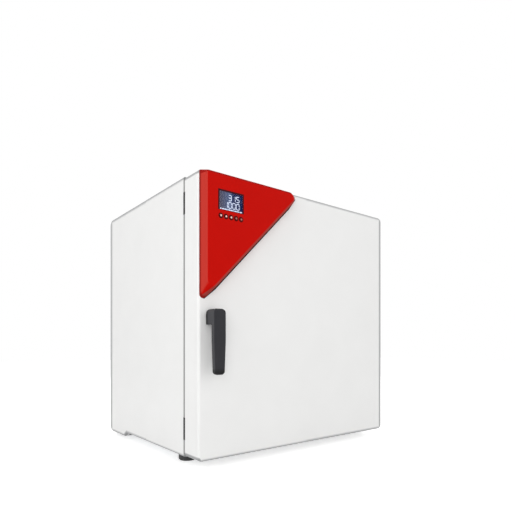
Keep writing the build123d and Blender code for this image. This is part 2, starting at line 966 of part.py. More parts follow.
def make_control_panel():
    base = front_plane(door_front) * triangle(0, panel_tip_base_radius)
    front = front_plane(panel_front) * triangle(panel_draft, panel_tip_front_radius)
    housing = loft([base, front], ruled=True)
    rim = housing.edges().filter_by(lambda e: abs(e.center().Y - panel_front) < 0.01)
    housing = fillet(rim, panel_edge_round)
    inner_draft = panel_draft * (panel_rise - panel_wall) / panel_rise
    inner_base = front_plane(door_front) * triangle(panel_wall, panel_tip_base_radius)
    inner_front = front_plane(panel_inner_front) * triangle(
        panel_wall + inner_draft, panel_tip_front_radius
    )
    housing -= loft([inner_base, inner_front], ruled=True)
    front_cut = panel_front - overrun
    back_cut = panel_inner_front + overrun
    housing -= slab(
        window_x - window_width / 2, window_x + window_width / 2, front_cut, back_cut,
        window_z - window_height / 2, window_z + window_height / 2, window_corner,
    )
    for x in key_places():
        housing -= rod_y(x, key_z, front_cut, back_cut, key_radius + sheet_fit)
    for x, z in board_post_places():
        housing += rod_y(x, z, panel_inner_front - board_post_root, board_front, board_post_radius)
    return housing


def board_edges():
    """Low and high sides of the control board."""
    half = window_width / 2 + display_border_x + board_margin
    return (
        window_x - half,
        window_x + half,
        key_z - board_below_keys,
        window_z + window_height / 2 + display_border_z + board_margin,
    )


def board_post_places():
    """Corners where posts of the housing carry the control board."""
    x_low, x_high, z_low, z_high = board_edges()
    columns = (x_low + board_post_inset, x_high - board_post_inset)
    rows = (z_low + board_post_inset, z_high - board_post_inset)
    return [(x, z) for x in columns for z in rows]


def make_display_window():
    half = window_width / 2 - window_fit
    tall = window_height / 2 - window_fit
    return slab(
        window_x - half, window_x + half, panel_front + window_recess, panel_inner_front,
        window_z - tall, window_z + tall, window_corner - window_fit,
    )


def make_display_module():
    half = window_width / 2 + display_border_x
    tall = window_height / 2 + display_border_z
    return slab(
        window_x - half, window_x + half, panel_inner_front, board_front,
        window_z - tall, window_z + tall, window_corner,
    )


def make_control_board():
    x_low, x_high, z_low, z_high = board_edges()
    back = board_front + board_thickness
    board = slab(x_low, x_high, board_front, back, z_low, z_high, board_corner)
    half = chip_side / 2
    chip = block(
        window_x - half, window_x + half, back, back + chip_height, window_z - half, window_z + half
    )
    wide = board_plug_width / 2
    tall = board_plug_height / 2
    plug = block(
        window_x - wide, window_x + wide, back, back + board_plug_height, key_z - tall, key_z + tall
    )
    return board + chip + plug


def make_key(x):
    cap = rod_y(x, key_z, panel_front - key_proud, panel_inner_front + key_collar, key_radius)
    rim = cap.edges().filter_by(lambda e: e.center().Y < panel_front)
    cap = fillet(rim.filter_by(GeomType.CIRCLE), key_round)
    collar_front = panel_inner_front + hole_fit
    collar = rod_y(x, key_z, collar_front, collar_front + key_collar, key_collar_radius)
    stem_back = board_front - key_travel - sheet_fit
    return cap + collar + rod_y(x, key_z, collar_front, stem_back, key_stem_radius)


def corners_at(face, x, y):
    """Corner of a drawn outline at one place."""
    return face.vertices().filter_by(lambda v: abs(v.X - x) < 0.01 and abs(v.Y - y) < 0.01)


def make_handle():
    grip_low = handle_height - handle_length
    hub_low = handle_height - handle_hub_below
    high = handle_height + handle_top
    side = make_face(Polyline(
        (rose_front - sheet_fit, hub_low),
        (rose_front - sheet_fit, high),
        (handle_front, high),
        (handle_front, grip_low),
        (handle_grip_back, grip_low),
        (handle_grip_back, hub_low),
        close=True,
    ))
    inner_corner = corners_at(side, handle_grip_back, hub_low)
    side = fillet(inner_corner, handle_inner_round)
    side = fillet(corners_at(side, rose_front - sheet_fit, hub_low), handle_hub_round)
    side = fillet(side.vertices().filter_by(lambda v: abs(v.Y - high) < 0.01), handle_top_round)
    end_corners = side.vertices().filter_by(lambda v: abs(v.Y - grip_low) < 0.01)
    side = chamfer(end_corners, handle_end_cut)
    half = handle_width / 2
    middle = handle_x + handle_off_axis
    body = Pos(middle, 0, 0) * extrude(Plane.YZ.offset(-half) * side, 2 * half)
    end_half = handle_end_width / 2
    taper_top = handle_height - handle_taper_below
    front = make_face(Polyline(
        (middle - half, high),
        (middle + half, high),
        (middle + half, taper_top),
        (middle + end_half, grip_low),
        (middle - end_half, grip_low),
        (middle - half, taper_top),
        close=True,
    ))
    front = fillet(front.vertices().filter_by(lambda v: abs(v.Y - high) < 0.01), handle_corner_round)
    front = fillet(front.vertices().filter_by(lambda v: abs(v.Y - grip_low) < 0.01), handle_end_round)
    body = body & face_on(front, handle_front - overrun, door_front)
    front_edges = body.edges().filter_by(lambda e: abs(e.center().Y - handle_front) < 0.01)
    body = fillet(front_edges, handle_round)
    socket = spindle_radius + pressed_fit
    hub_back = rose_front - sheet_fit
    return body - rod_y(handle_x, handle_height, hub_back - spindle_in_hub, hub_back + overrun, socket)


def make_handle_rose():
    half = rose_width / 2
    tall = rose_height / 2
    rose = slab(
        handle_x - half, handle_x + half, rose_front, door_front,
        handle_height - tall, handle_height + tall, rose_corner,
    )
    bore = spindle_radius + turning_fit
    rose += rod_y(handle_x, handle_height, door_front - overrun, door_back, bore + sleeve_wall)
    return rose - rod_y(handle_x, handle_height, rose_front - overrun, door_back + overrun, bore)


def make_spindle():
    front = rose_front - sheet_fit - spindle_in_hub + loose_fit
    return rod_y(handle_x, handle_height, front, cam_back, spindle_radius)


def make_latch_cam():
    hub = Pos(handle_x, handle_height) * Circle(cam_hub_radius)
    tip = Pos(handle_x - cam_reach + cam_tip_radius, handle_height) * Circle(cam_tip_radius)
    cam = face_on(make_hull(hub.edges() + tip.edges()), cam_front, cam_back)
    bore = spindle_radius + pressed_fit
    return cam - rod_y(handle_x, handle_height, cam_front - overrun, cam_back + overrun, bore)


def make_fan_baffle():
    side = chamber_half - baffle_side_gap
    low = chamber_low + baffle_end_gap
    high = chamber_top - baffle_end_gap
    back = baffle_front + baffle_sheet
    baffle = block(-side, side, baffle_front, chamber_rear, low, high)
    inner_side = side - baffle_sheet
    baffle -= block(
        -inner_side, inner_side, back, chamber_rear + overrun, low - overrun, high + overrun
    )
    front = baffle_front - overrun
    holes = []
    steps = int(intake_radius // intake_hole_pitch)
    for row in range(-steps, steps + 1):
        for column in range(-steps, steps + 1):
            x = (column + 0.5 * (row % 2)) * intake_hole_pitch
            z = row * intake_hole_pitch * sqrt(3) / 2
            if sqrt(x * x + z * z) < intake_radius:
                holes.append(rod_y(x, body_mid + z, front, back + overrun, intake_hole_radius))
    for x in (-side + outlet_slot_inset, side - outlet_slot_inset):
        for step in range(outlet_slot_count):
            z = low + (high - low) * (step + 0.5) / outlet_slot_count
            slot = Pos(x, z) * Rot(0, 0, 90) * SlotOverall(outlet_slot_length, outlet_slot_width)
            holes.append(face_on(slot, front, back + overrun))
    holes.append(rod_y(probe_side, probe_height, front, back + overrun, probe_radius + loose_fit))
    return baffle - holes


def fan_place():
    """Front and back of the fan wheel."""
    front = baffle_front + baffle_sheet + fan_behind_baffle
    return front, front + fan_width


def make_fan_wheel():
    front, back = fan_place()
    wheel = rod_y(0, body_mid, back - fan_sheet, back, fan_radius)
    wheel += tube_y(0, body_mid, front, front + fan_sheet, fan_radius, fan_eye_radius)
    wheel += rod_y(0, body_mid, front + fan_sheet, back, fan_hub_radius)
    blades = []
    for step in range(fan_blade_count):
        blade = block(
            fan_eye_radius, fan_radius, front + fan_sheet / 2, back - fan_sheet / 2,
            -fan_sheet / 2, fan_sheet / 2,
        )
        turn = Rot(0, step * 360 / fan_blade_count, 0)
        blades.append(Pos(0, 0, body_mid) * turn * blade)
    wheel += blades
    return wheel - rod_y(0, body_mid, front - overrun, back + overrun, shaft_radius + pressed_fit)


def make_fan_shaft():
    front, back = fan_place()
    return rod_y(0, body_mid, front, bulkhead_rear + shaft_in_motor, shaft_radius)


def make_fan_motor():
    half = motor_flange_side / 2
    flange_back = bulkhead_rear + motor_flange
    motor = slab(-half, half, bulkhead_rear, flange_back, body_mid - half, body_mid + half, motor_flange)
    motor += rod_y(0, body_mid, bulkhead_rear, bulkhead_rear + motor_length, motor_radius)
    end = motor.edges().filter_by(lambda e: e.center().Y > bulkhead_rear + motor_length - 0.01)
    motor = chamfer(end, motor_flange)
    bore = shaft_radius + turning_fit
    bore_back = bulkhead_rear + shaft_in_motor + loose_fit
    return motor - rod_y(0, body_mid, bulkhead_rear - overrun, bore_back, bore)


def make_heater_element():
    front, back = fan_place()
    y = (front + back) / 2
    half_gap = radians(heater_gap_angle)
    ends = []
    bends = []
    for side in (-1, 1):
        ends.append(Vector(
            side * heater_ring_radius * sin(half_gap), y, body_mid - heater_ring_radius * cos(half_gap)
        ))
    top = Vector(0, y, body_mid + heater_ring_radius)
    ring = ThreePointArc(ends[0], top, ends[1])
    pins = []
    for side, end in zip((-1, 1), ends):
        along = Vector(-side * cos(half_gap), 0, -sin(half_gap))
        turned = end + along * heater_bend_radius + Vector(0, heater_bend_radius, 0)
        bends.append(TangentArc(end, turned, tangent=along))
        tip = Vector(turned.X, bulkhead_rear + heater_insulator_length + heater_pin_length, turned.Z)
        pins.append(Line(turned, tip))
    path = Wire([pins[0].edge(), bends[0].edge(), ring.edge(), bends[1].edge(), pins[1].edge()])
    start = pins[0] @ 1
    section = Plane(origin=start, z_dir=(0, -1, 0)) * Circle(heater_tube_radius)
    element = sweep(section, path=path)
    for x, z in heater_pin_places():
        element += rod_y(
            x, z, bulkhead_rear, bulkhead_rear + heater_insulator_length, heater_insulator_radius
        )
    return element


def make_temperature_probe():
    tip = baffle_front - probe_into_chamber
    probe = rod_y(probe_side, probe_height, tip, bulkhead_rear + overrun, probe_radius)
    head_back = bulkhead_rear + probe_head_length
    return probe + rod_y(probe_side, probe_height, bulkhead_rear, head_back, probe_head_radius)


def carrier_level(step):
    """Top of one shelf ledge."""
    return chamber_low + carrier_first_level + step * carrier_level_pitch


def make_shelf_carrier(side):
    front = frame_front + plug_reach + carrier_front_gap
    back = baffle_front - shelf_rear_gap
    wall = side * chamber_half
    plate = wall - side * carrier_sheet
    ledge = wall - side * carrier_ledge
    low = chamber_low + chamber_corner
    high = chamber_top - chamber_corner
    carrier = block(min(wall, plate), max(wall, plate), front, back, low, high)
    for step in range(carrier_level_count):
        top = carrier_level(step)
        carrier += block(min(wall, ledge), max(wall, ledge), front, back, top - carrier_sheet, top)
    holes = []
    for step in range(carrier_level_count):
        z = carrier_level(step) + carrier_level_pitch / 2
        places = spread(front + carrier_hole_pitch, back - carrier_hole_pitch, carrier_hole_pitch)
        for y in places:
            left = min(wall, plate) - overrun
            right = max(wall, plate) + overrun
            holes.append(rod_x(y, z, left, right, carrier_hole_radius))
    return carrier - holes


def shelf_edges():
    """Outer sides of a wire shelf."""
    side = chamber_half - carrier_sheet - shelf_side_fit
    back = baffle_front - shelf_rear_gap
    front = frame_front + plug_reach + shelf_stop_gap + shelf_slide
    return side, front, back


def make_wire_shelf(step):
    side, front, back = shelf_edges()
    z = carrier_level(step) + sheet_fit + shelf_frame_radius
    half = side - shelf_frame_radius
    near = front + shelf_frame_radius
    far = back - shelf_frame_radius
    outline = Pos(0, (near + far) / 2, z) * RectangleRounded(2 * half, far - near, shelf_corner)
    path = outline.wire()
    section = Plane(origin=path @ 0, z_dir=path % 0) * Circle(shelf_frame_radius)
    frame = sweep(section, path=path)
    wire_z = z + shelf_frame_radius + shelf_wire_radius - shelf_wire_sink
    first = half - shelf_corner
    wires = []
    for x in spread(-first, first, shelf_wire_pitch):
        wires.append(rod_y(x, wire_z, near, far, shelf_wire_radius))
    middle = (near + far) / 2
    support_z = wire_z - 2 * shelf_wire_radius + shelf_wire_sink / 2
    wires.append(rod_x(middle, support_z, -half, half, shelf_wire_radius))
    return frame + wires


def make_exhaust_duct():
    front = chamber_rear - duct_into_plenum
    step = spigot_front - 2 * duct_wall
    collar_back = bulkhead_rear + duct_collar
    duct = rod_y(duct_side, duct_height, front, spigot_front, duct_radius)
    duct += rod_y(duct_side, duct_height, spigot_front, duct_back, spigot_radius)
    duct += rod_y(duct_side, duct_height, bulkhead_rear, collar_back, duct_collar_radius)
    cover = duct_radius + duct_window_margin + duct_window_cover
    flange_back = rear_panel_front - sheet_fit
    duct += block(
        duct_side - cover, duct_side + cover, flange_back - duct_flange, flange_back,
        duct_height - cover, duct_height + cover,
    )
    duct -= rod_y(duct_side, duct_height, front - overrun, step, duct_radius - duct_wall)
    duct -= rod_y(duct_side, duct_height, step, duct_back + overrun, spigot_radius - duct_wall)
    return duct - rod_z(
        duct_side, flap_y, duct_height - duct_radius - overrun, duct_height + duct_radius + overrun,
        flap_shaft_radius + turning_fit,
    )


def actuator_top():
    return duct_height - duct_collar_radius - actuator_below_collar


def make_exhaust_flap():
    radius = duct_radius - duct_wall - flap_fit
    flap = rod_y(duct_side, duct_height, flap_y - flap_thickness / 2, flap_y + flap_thickness / 2, radius)
    low = actuator_top() - actuator_bore_depth + loose_fit
    high = duct_height + duct_radius + flap_shaft_above
    return flap + rod_z(duct_side, flap_y, low, high, flap_shaft_radius)


def make_flap_actuator():
    half = actuator_width / 2
    top = actuator_top()
    box = block(
        duct_side - half, duct_side + half, bulkhead_rear, bulkhead_rear + actuator_depth,
        top - actuator_height, top,
    )
    bore = flap_shaft_radius + turning_fit
    return box - rod_z(duct_side, flap_y, top - actuator_bore_depth, top + overrun, bore)


def make_power_inlet():
    back = rear_panel_back + inlet_flange
    half = inlet_body_width / 2
    tall = inlet_body_height / 2
    body = block(
        inlet_side - half, inlet_side + half, back - inlet_body_depth, rear_panel_back,
        inlet_height - tall, inlet_height + tall,
    )
    margin = inlet_flange_margin
    body += slab(
        inlet_side - half - margin, inlet_side + half + margin, rear_panel_back, back,
        inlet_height - tall - margin, inlet_height + tall + margin, margin,
    )
    socket_z = inlet_height - socket_below
    floor = back - socket_depth
    body -= slab(
        inlet_side - socket_width / 2, inlet_side + socket_width / 2, floor, back + overrun,
        socket_z - socket_height / 2, socket_z + socket_height / 2, socket_corner,
    )
    blades = [(-blade_spacing, -blade_drop), (blade_spacing, -blade_drop), (0, earth_rise)]
    for x, z in blades:
        body += block(
            inlet_side + x - blade_width / 2, inlet_side + x + blade_width / 2,
            floor - overrun, floor + blade_length,
            socket_z + z - blade_height / 2, socket_z + z + blade_height / 2,
        )
    rocker_z = inlet_height + rocker_above
    body -= block(
        inlet_side - rocker_opening_width / 2, inlet_side + rocker_opening_width / 2,
        back - rocker_opening_depth, back + overrun,
        rocker_z - rocker_opening_height / 2, rocker_z + rocker_opening_height / 2,
    )
    reach = rocker_opening_width / 2 + rocker_axle_depth
    bore = rocker_axle_radius + turning_fit
    return body - rod_x(
        back - rocker_axle_inside, rocker_z, inlet_side - reach, inlet_side + reach, bore
    )


def make_rocker():
    back = rear_panel_back + inlet_flange
    profile = make_face(Polyline(
        (rocker_tip_height, -rocker_half_length),
        (rocker_dish_height, 0),
        (rocker_tip_height, rocker_half_length),
        (-rocker_under, rocker_half_length * 2 / 3),
        (-rocker_under, -rocker_half_length * 2 / 3),
        close=True,
    ))
    half = rocker_width / 2
    rocker = extrude(Plane.YZ.offset(-half) * profile, 2 * half)
    axle_half = rocker_opening_width / 2 + rocker_axle_depth - loose_fit
    rocker += rod_x(0, 0, -axle_half, axle_half, rocker_axle_radius)
    place = Pos(inlet_side, back - rocker_axle_inside, inlet_height + rocker_above)
    return place * Rot(-rocker_throw, 0, 0) * rocker


def make_limiter_body():
    front = rear_panel_front - limiter_length
    body = rod_y(limiter_side, limiter_height, front, rear_panel_front, limiter_radius)
    bore = knob_shaft_radius + turning_fit
    return body - rod_y(
        limiter_side, limiter_height, rear_panel_front - knob_shaft_depth, rear_panel_front + overrun, bore
    )


def make_limiter_knob():
    low = rear_panel_back + knob_gap
    base = rod_y(limiter_side, limiter_height, low, low + knob_base, knob_radius)
    rim = base.edges().filter_by(lambda e: e.center().Y > low + knob_base - 0.01)
    base = chamfer(rim, knob_chamfer)
    half = knob_grip_width / 2
    grip_reach = knob_radius - knob_grip_inset
    grip = block(
        limiter_side - half, limiter_side + half, low, low + knob_base + knob_grip_height,
        limiter_height - grip_reach, limiter_height + grip_reach,
    )
    shaft_front = rear_panel_front - knob_shaft_depth + loose_fit
    return base + grip + rod_y(limiter_side, limiter_height, shaft_front, low + overrun, knob_shaft_radius)


def make_power_board():
    half = power_board_width / 2
    tall = power_board_tall / 2
    front = bulkhead_rear + power_board_standoff
    back = front + power_board_thickness
    x = power_board_side
    z = power_board_height
    board = block(x - half, x + half, front, back, z - tall, z + tall)
    for dx in (-half + power_board_post_inset, half - power_board_post_inset):
        for dz in (-tall + power_board_post_inset, tall - power_board_post_inset):
            board += rod_y(x + dx, z + dz, bulkhead_rear, front, power_board_post_radius)
    boxes = [(transformer_place, transformer_size), (filter_place, filter_size)]
    boxes += [(place, relay_size) for place in relay_places]
    for (dx, dz), (wide, deep, high) in boxes:
        board += block(
            x + dx - wide / 2, x + dx + wide / 2, back, back + deep,
            z + dz - high / 2, z + dz + high / 2,
        )
    for dx, dz in capacitor_places:
        board += rod_y(x + dx, z + dz, back, back + capacitor_height, capacitor_radius)
    return board


save("outer_casing", make_outer_casing())
save("base_pan", make_base_pan())
save("rear_base_rail", make_rear_base_rail())
for foot_name, foot_x, foot_y, foot_seat in foot_places():
    save(f"foot_{foot_name}", make_foot(foot_x, foot_y, foot_seat))
save("foot_screws", make_foot_screws())
save("front_frame", make_front_frame())
save("strike_cup", make_strike_cup())
save("chamber_liner", make_chamber_liner())
save("insulation_jacket", make_insulation_jacket())
save("insulation_rear", make_insulation_rear())
save("rear_bulkhead", make_rear_bulkhead())
save("rear_panel", make_rear_panel())
save("rear_panel_screws", make_rear_panel_screws())
save("hinge_bracket_lower", make_hinge_bracket(hinge_low_height))
save("hinge_bracket_upper", make_hinge_bracket(hinge_high_height))
save("hinge_pins", make_hinge_pins())
save("hinge_bracket_screws", make_hinge_bracket_screws())
save("hinge_blanking_plates", make_hinge_blanking_plates())
save("shelf_carrier_left", make_shelf_carrier(-1))
save("shelf_carrier_right", make_shelf_carrier(1))
save("fan_baffle", make_fan_baffle())
save("fan_motor", make_fan_motor())
save("heater_element", make_heater_element())
save("temperature_probe", make_temperature_probe())
save("exhaust_duct", make_exhaust_duct())
save("flap_actuator", make_flap_actuator())
save("power_inlet", make_power_inlet())
save("power_board", make_power_board())
save("limiter_body", make_limiter_body())

save("door_shell", make_door_shell())
save("door_inner_panel", make_door_inner_panel())
save("door_insulation", make_door_insulation())
save("door_gasket", make_door_gasket())
save("hinge_cup_lower", make_hinge_cup(hinge_low_height))
save("hinge_cup_upper", make_hinge_cup(hinge_high_height))
save("hinge_bushes", make_hinge_bushes())
save("control_panel", make_control_panel())
save("display_window", make_display_window())
save("display_module", make_display_module())
save("control_board", make_control_board())
save("handle_rose", make_handle_rose())

save("door_handle", make_handle())
save("handle_spindle", make_spindle())
save("latch_cam", make_latch_cam())
for number, key_x in enumerate(key_places(), start=1):
    save(f"key_{number}", make_key(key_x))
for number, level in enumerate(shelf_levels, start=1):
    save(f"wire_shelf_{number}", make_wire_shelf(level))
save("fan_wheel", make_fan_wheel())
save("fan_shaft", make_fan_shaft())
save("exhaust_flap", make_exhaust_flap())
save("limiter_knob", make_limiter_knob())
save("switch_rocker", make_rocker())
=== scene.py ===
import math

import bmesh
import bpy
from mathutils import Matrix, Vector
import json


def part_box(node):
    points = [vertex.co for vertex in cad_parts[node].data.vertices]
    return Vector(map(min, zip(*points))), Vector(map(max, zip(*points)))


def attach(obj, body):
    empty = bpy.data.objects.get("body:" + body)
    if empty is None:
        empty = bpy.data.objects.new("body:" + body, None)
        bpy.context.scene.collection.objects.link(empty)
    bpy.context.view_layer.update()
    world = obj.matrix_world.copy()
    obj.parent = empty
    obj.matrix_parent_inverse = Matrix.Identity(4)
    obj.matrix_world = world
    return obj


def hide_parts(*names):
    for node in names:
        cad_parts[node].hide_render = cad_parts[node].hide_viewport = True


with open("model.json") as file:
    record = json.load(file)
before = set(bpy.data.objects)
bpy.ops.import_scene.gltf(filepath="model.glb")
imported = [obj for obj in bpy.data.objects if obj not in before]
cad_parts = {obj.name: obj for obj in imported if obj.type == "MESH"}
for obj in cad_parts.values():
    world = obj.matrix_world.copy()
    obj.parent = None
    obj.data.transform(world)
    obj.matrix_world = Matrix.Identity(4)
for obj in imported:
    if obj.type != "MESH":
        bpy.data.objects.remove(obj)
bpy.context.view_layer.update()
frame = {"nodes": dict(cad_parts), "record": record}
nodes = frame["nodes"]
print("frame loaded:", len(nodes), "nodes")


def hexToLinear(code):
    channels = [int(code[i:i + 2], 16) / 255 for i in (1, 3, 5)]
    linear = [c / 12.92 if c <= 0.04045 else ((c + 0.055) / 1.055) ** 2.4 for c in channels]
    return (*linear, 1.0)


def perMillimetre(size):
    # noise scale that gives features of about this many millimetres
    return 1000.0 / size


def addNode(tree, kind, inputs=None, **settings):
    # among the inputs, a node stands for its first output in use and a hex code for a colour
    node = tree.nodes.new(kind)
    for name, value in settings.items():
        setattr(node, name, value)
    for name, value in (inputs or {}).items():
        if isinstance(value, bpy.types.Node):
            value = next(output for output in value.outputs if output.enabled)
        if isinstance(value, bpy.types.NodeSocket):
            tree.links.new(value, node.inputs[name])
        else:
            node.inputs[name].default_value = hexToLinear(value) if isinstance(value, str) else value
    return node


def newMaterial(name):
    material = bpy.data.materials.new(name)
    material.use_nodes = True
    material.node_tree.nodes.clear()
    return material, material.node_tree


def finishMaterial(material, surface):
    # a Principled shader with these inputs, on the material's output
    tree = material.node_tree
    shader = addNode(tree, "ShaderNodeBsdfPrincipled", surface)
    addNode(tree, "ShaderNodeOutputMaterial", {"Surface": shader})
    return material


def islandBoxes(node):
    # box of each separate solid in a CAD node
    mesh = bmesh.new()
    mesh.from_mesh(nodes[node].data)
    bmesh.ops.remove_doubles(mesh, verts=mesh.verts, dist=1e-6)
    left = set(mesh.verts)
    boxes = []
    while left:
        queue = [left.pop()]
        low = queue[0].co.copy()
        high = queue[0].co.copy()
        while queue:
            vert = queue.pop()
            low = Vector(map(min, low, vert.co))
            high = Vector(map(max, high, vert.co))
            for edge in vert.link_edges:
                other = edge.other_vert(vert)
                if other in left:
                    left.remove(other)
                    queue.append(other)
        boxes.append((low, high))
    mesh.free()
    return sorted(boxes, key=lambda b: (round(b[0].x, 4), round(b[0].z, 4)))


# Epoxy-polyester powder coat on steel sheet: a fine orange peel breaks up the highlight. Painted shade: the
# bent edges that face away from the lamps are painted grey.
powderCoat = {
    "white": "#F5F5F4",
    "cloud": "#F0F0EF",
    # painted shade: the grey painted on bent edges that face away from the lamps
    "edgeShade": "#A4A5A6",
    # where the painted edge shade starts and is full, and how fast it comes in along the depth: the casing's
    # rear bend has a large radius, the door's front edges a small one
    "casingEdgeShade": (0.0130, 0.0056, 0.5),
    "doorEdgeShade": (0.0100, 0.0034, 2.0),
    # between which depths the casing's lower edge drops, by how much, and the height
    # that all of that edge lies under
    "skirtDrop": (0.1565, 0.1745, 0.013),
    "skirtUnder": 0.1,
    # how far the boxes that give the edges are moved from the ends of the sheets
    "skirtLap": 0.0020,
    "openReach": 0.5,
    "rightDraw": 0.0060,
    "middleBlend": 0.01,  # half the width of the change from the left half to the right
    # how far a face of the door's large corners leans up and sideways for the painted edge shade
    "cornerRise": (0.03, 0.25),
    "cornerSide": (0.15, 0.35),
    # painted shade: the grey painted on the door's back edge along the gap, and how far in front of the
    # door's back it starts and is full
    "gapEdgeShade": "#7E7F80",
    "gapEdgeShadeWidth": (0.0030, 0.0018),
    # painted shade: black painted on the sheet edges beside the gap plugs, how far it reaches onto each sheet
    # and in from their side
    "plugShade": "#0E0E0F",
    "casingPlugShade": 0.0006,
    "doorPlugShade": 0.0036,
    "plugShadeReach": 0.005,
    "peelMm": 2.2,  # real peel is about 1 mm, too fine to show
    "cloudMm": 90.0,
    "peelSpan": (0.35, 0.65),
    "roughLow": 0.40,
    "roughHigh": 0.50,
}


def addEdgeShadeShare(tree, place, look, reach, lowCorner, highCorner):
    # painted shade: 1 where two faces of a box meet, 0 away from its edges
    start, full, depthScale = reach
    rampStart, rampEnd, fall = look["skirtDrop"]
    depth, height = addNode(tree, "ShaderNodeSeparateXYZ", {0: place}).outputs[1:]
    drop = addNode(tree, "ShaderNodeMapRange", {0: depth, 1: rampStart, 2: rampEnd, 4: fall})
    under = addNode(tree, "ShaderNodeMath", {0: height, 1: look["skirtUnder"]}, operation="LESS_THAN")
    drop = addNode(tree, "ShaderNodeMath", {0: drop, 1: under}, operation="MULTIPLY")
    drop = addNode(tree, "ShaderNodeCombineXYZ", {2: drop})
    place = addNode(tree, "ShaderNodeVectorMath", {0: place, 1: drop}, operation="ADD")
    middle = tuple((lowCorner + highCorner) / 2)
    half = tuple((highCorner - lowCorner) / 2)
    moved = addNode(tree, "ShaderNodeVectorMath", {0: place, 1: middle}, operation="SUBTRACT")
    size = addNode(tree, "ShaderNodeVectorMath", {0: moved}, operation="ABSOLUTE")
    away = addNode(tree, "ShaderNodeVectorMath", {0: half, 1: size}, operation="SUBTRACT")
    away = addNode(tree, "ShaderNodeVectorMath", {0: away, 1: (1.0, depthScale, 1.0)}, operation="MULTIPLY")
    x, y, z = addNode(tree, "ShaderNodeSeparateXYZ", {0: away}).outputs
    lower = addNode(tree, "ShaderNodeMath", {0: x, 1: y}, operation="MINIMUM")
    upper = addNode(tree, "ShaderNodeMath", {0: x, 1: y}, operation="MAXIMUM")
    upper = addNode(tree, "ShaderNodeMath", {0: upper, 1: z}, operation="MINIMUM")
    second = addNode(tree, "ShaderNodeMath", {0: lower, 1: upper}, operation="MAXIMUM")
    near = addNode(tree, "ShaderNodeMapRange", {0: second, 1: start, 2: full})
    # the upright edge at the front left, which faces the lamps, gets no painted shade; the right half, the
    # rear half and the top and bottom edges do
    right = addNode(tree, "ShaderNodeSeparateXYZ", {0: moved}).outputs[0]
    right = addNode(tree, "ShaderNodeMapRange", {0: right, 1: -look["middleBlend"], 2: look["middleBlend"]})
    level = addNode(tree, "ShaderNodeMapRange", {0: z, 1: start, 2: full})
    behind = addNode(tree, "ShaderNodeMath", {0: depth, 1: 0.0}, operation="GREATER_THAN")
    grey = addNode(tree, "ShaderNodeMath", {0: right, 1: level}, operation="MAXIMUM")
    grey = addNode(tree, "ShaderNodeMath", {0: grey, 1: behind}, operation="MAXIMUM")
    return addNode(tree, "ShaderNodeMath", {0: near, 1: grey}, operation="MULTIPLY")


def addPlugShade(tree, place, colour, look, edge, reach):
    # painted shade: black painted over the white along the edge of the sheet beside each gap plug
    x, y, z = addNode(tree, "ShaderNodeSeparateXYZ", {0: place}).outputs
    plugs = 0.0
    for low, high in islandBoxes("hinge_blanking_plates"):
        level = addNode(tree, "ShaderNodeMath", {
            0: z, 1: (low.z + high.z) / 2, 2: (high.z - low.z) / 2}, operation="COMPARE")
        side = addNode(tree, "ShaderNodeMath", {0: x, 1: low.x, 2: look["plugShadeReach"]}, operation="COMPARE")
        plugs = addNode(tree, "ShaderNodeMath", {0: level, 1: side, 2: plugs}, operation="MULTIPLY_ADD")
    share = addNode(tree, "ShaderNodeMath", {0: y, 1: edge, 2: reach}, operation="COMPARE")
    share = addNode(tree, "ShaderNodeMath", {0: share, 1: plugs}, operation="MULTIPLY")
    return addNode(tree, "ShaderNodeMix", {0: share, 6: colour, 7: look["plugShade"]}, data_type="RGBA")


def addCornerShadeShare(tree, normal, look):
    # painted shade: 1 on the arcs of the door's large corners, which lie too far in from the box's edges
    facing = addNode(tree, "ShaderNodeVectorMath", {0: normal}, operation="ABSOLUTE")
    facing = addNode(tree, "ShaderNodeSeparateXYZ", {0: facing}).outputs
    rise, side = [
        addNode(tree, "ShaderNodeMapRange", {0: lean, 1: span[0], 2: span[1]})
        for lean, span in ((facing[2], look["cornerRise"]), (facing[0], look["cornerSide"]))]
    return addNode(tree, "ShaderNodeMath", {0: rise, 1: side}, operation="MULTIPLY")


def makePowderCoat(look, name, reach, low, high, seam, plugShade, withDoorShades=False):
    material, tree = newMaterial(name)
    coords = addNode(tree, "ShaderNodeTexCoord").outputs
    place = coords["Object"]
    cloud = addNode(tree, "ShaderNodeTexNoise", {
        "Vector": place, "Scale": perMillimetre(look["cloudMm"]), "Detail": 3.0})
    peel = addNode(tree, "ShaderNodeTexNoise", {
        "Vector": place, "Scale": perMillimetre(look["peelMm"]), "Detail": 2.0, "Roughness": 0.45})
    speckle = addNode(tree, "ShaderNodeMapRange", {
        0: peel, 1: look["peelSpan"][0], 2: look["peelSpan"][1], 3: look["roughLow"], 4: look["roughHigh"]})
    edge = addEdgeShadeShare(tree, place, look, reach, low, high)
    if withDoorShades:
        corner = addCornerShadeShare(tree, coords["Normal"], look)
        edge = addNode(tree, "ShaderNodeMath", {0: edge, 1: corner}, operation="MAXIMUM")
    colour = addNode(tree, "ShaderNodeMix", {0: cloud, 6: look["white"], 7: look["cloud"]}, data_type="RGBA")
    colour = addNode(tree, "ShaderNodeMix", {0: edge, 6: colour, 7: look["edgeShade"]}, data_type="RGBA")
    if withDoorShades:
        # painted shade: the door's back edge along the gap is painted darker grey
        depth = addNode(tree, "ShaderNodeSeparateXYZ", {0: place}).outputs[1]
        gapEdgeShade = addNode(tree, "ShaderNodeMapRange", {
            0: depth, 1: seam - look["gapEdgeShadeWidth"][0], 2: seam - look["gapEdgeShadeWidth"][1]})
        colour = addNode(tree, "ShaderNodeMix", {0: gapEdgeShade, 6: colour, 7: look["gapEdgeShade"]}, data_type="RGBA")
    bump = addNode(tree, "ShaderNodeBump", {"Height": peel, "Strength": 0.10, "Distance": 0.0004})
    return finishMaterial(material, {
        "Base Color": addPlugShade(tree, place, colour, look, seam, plugShade), "Roughness": speckle,
        "IOR": 1.5, "Specular IOR Level": 0.35, "Normal": bump})
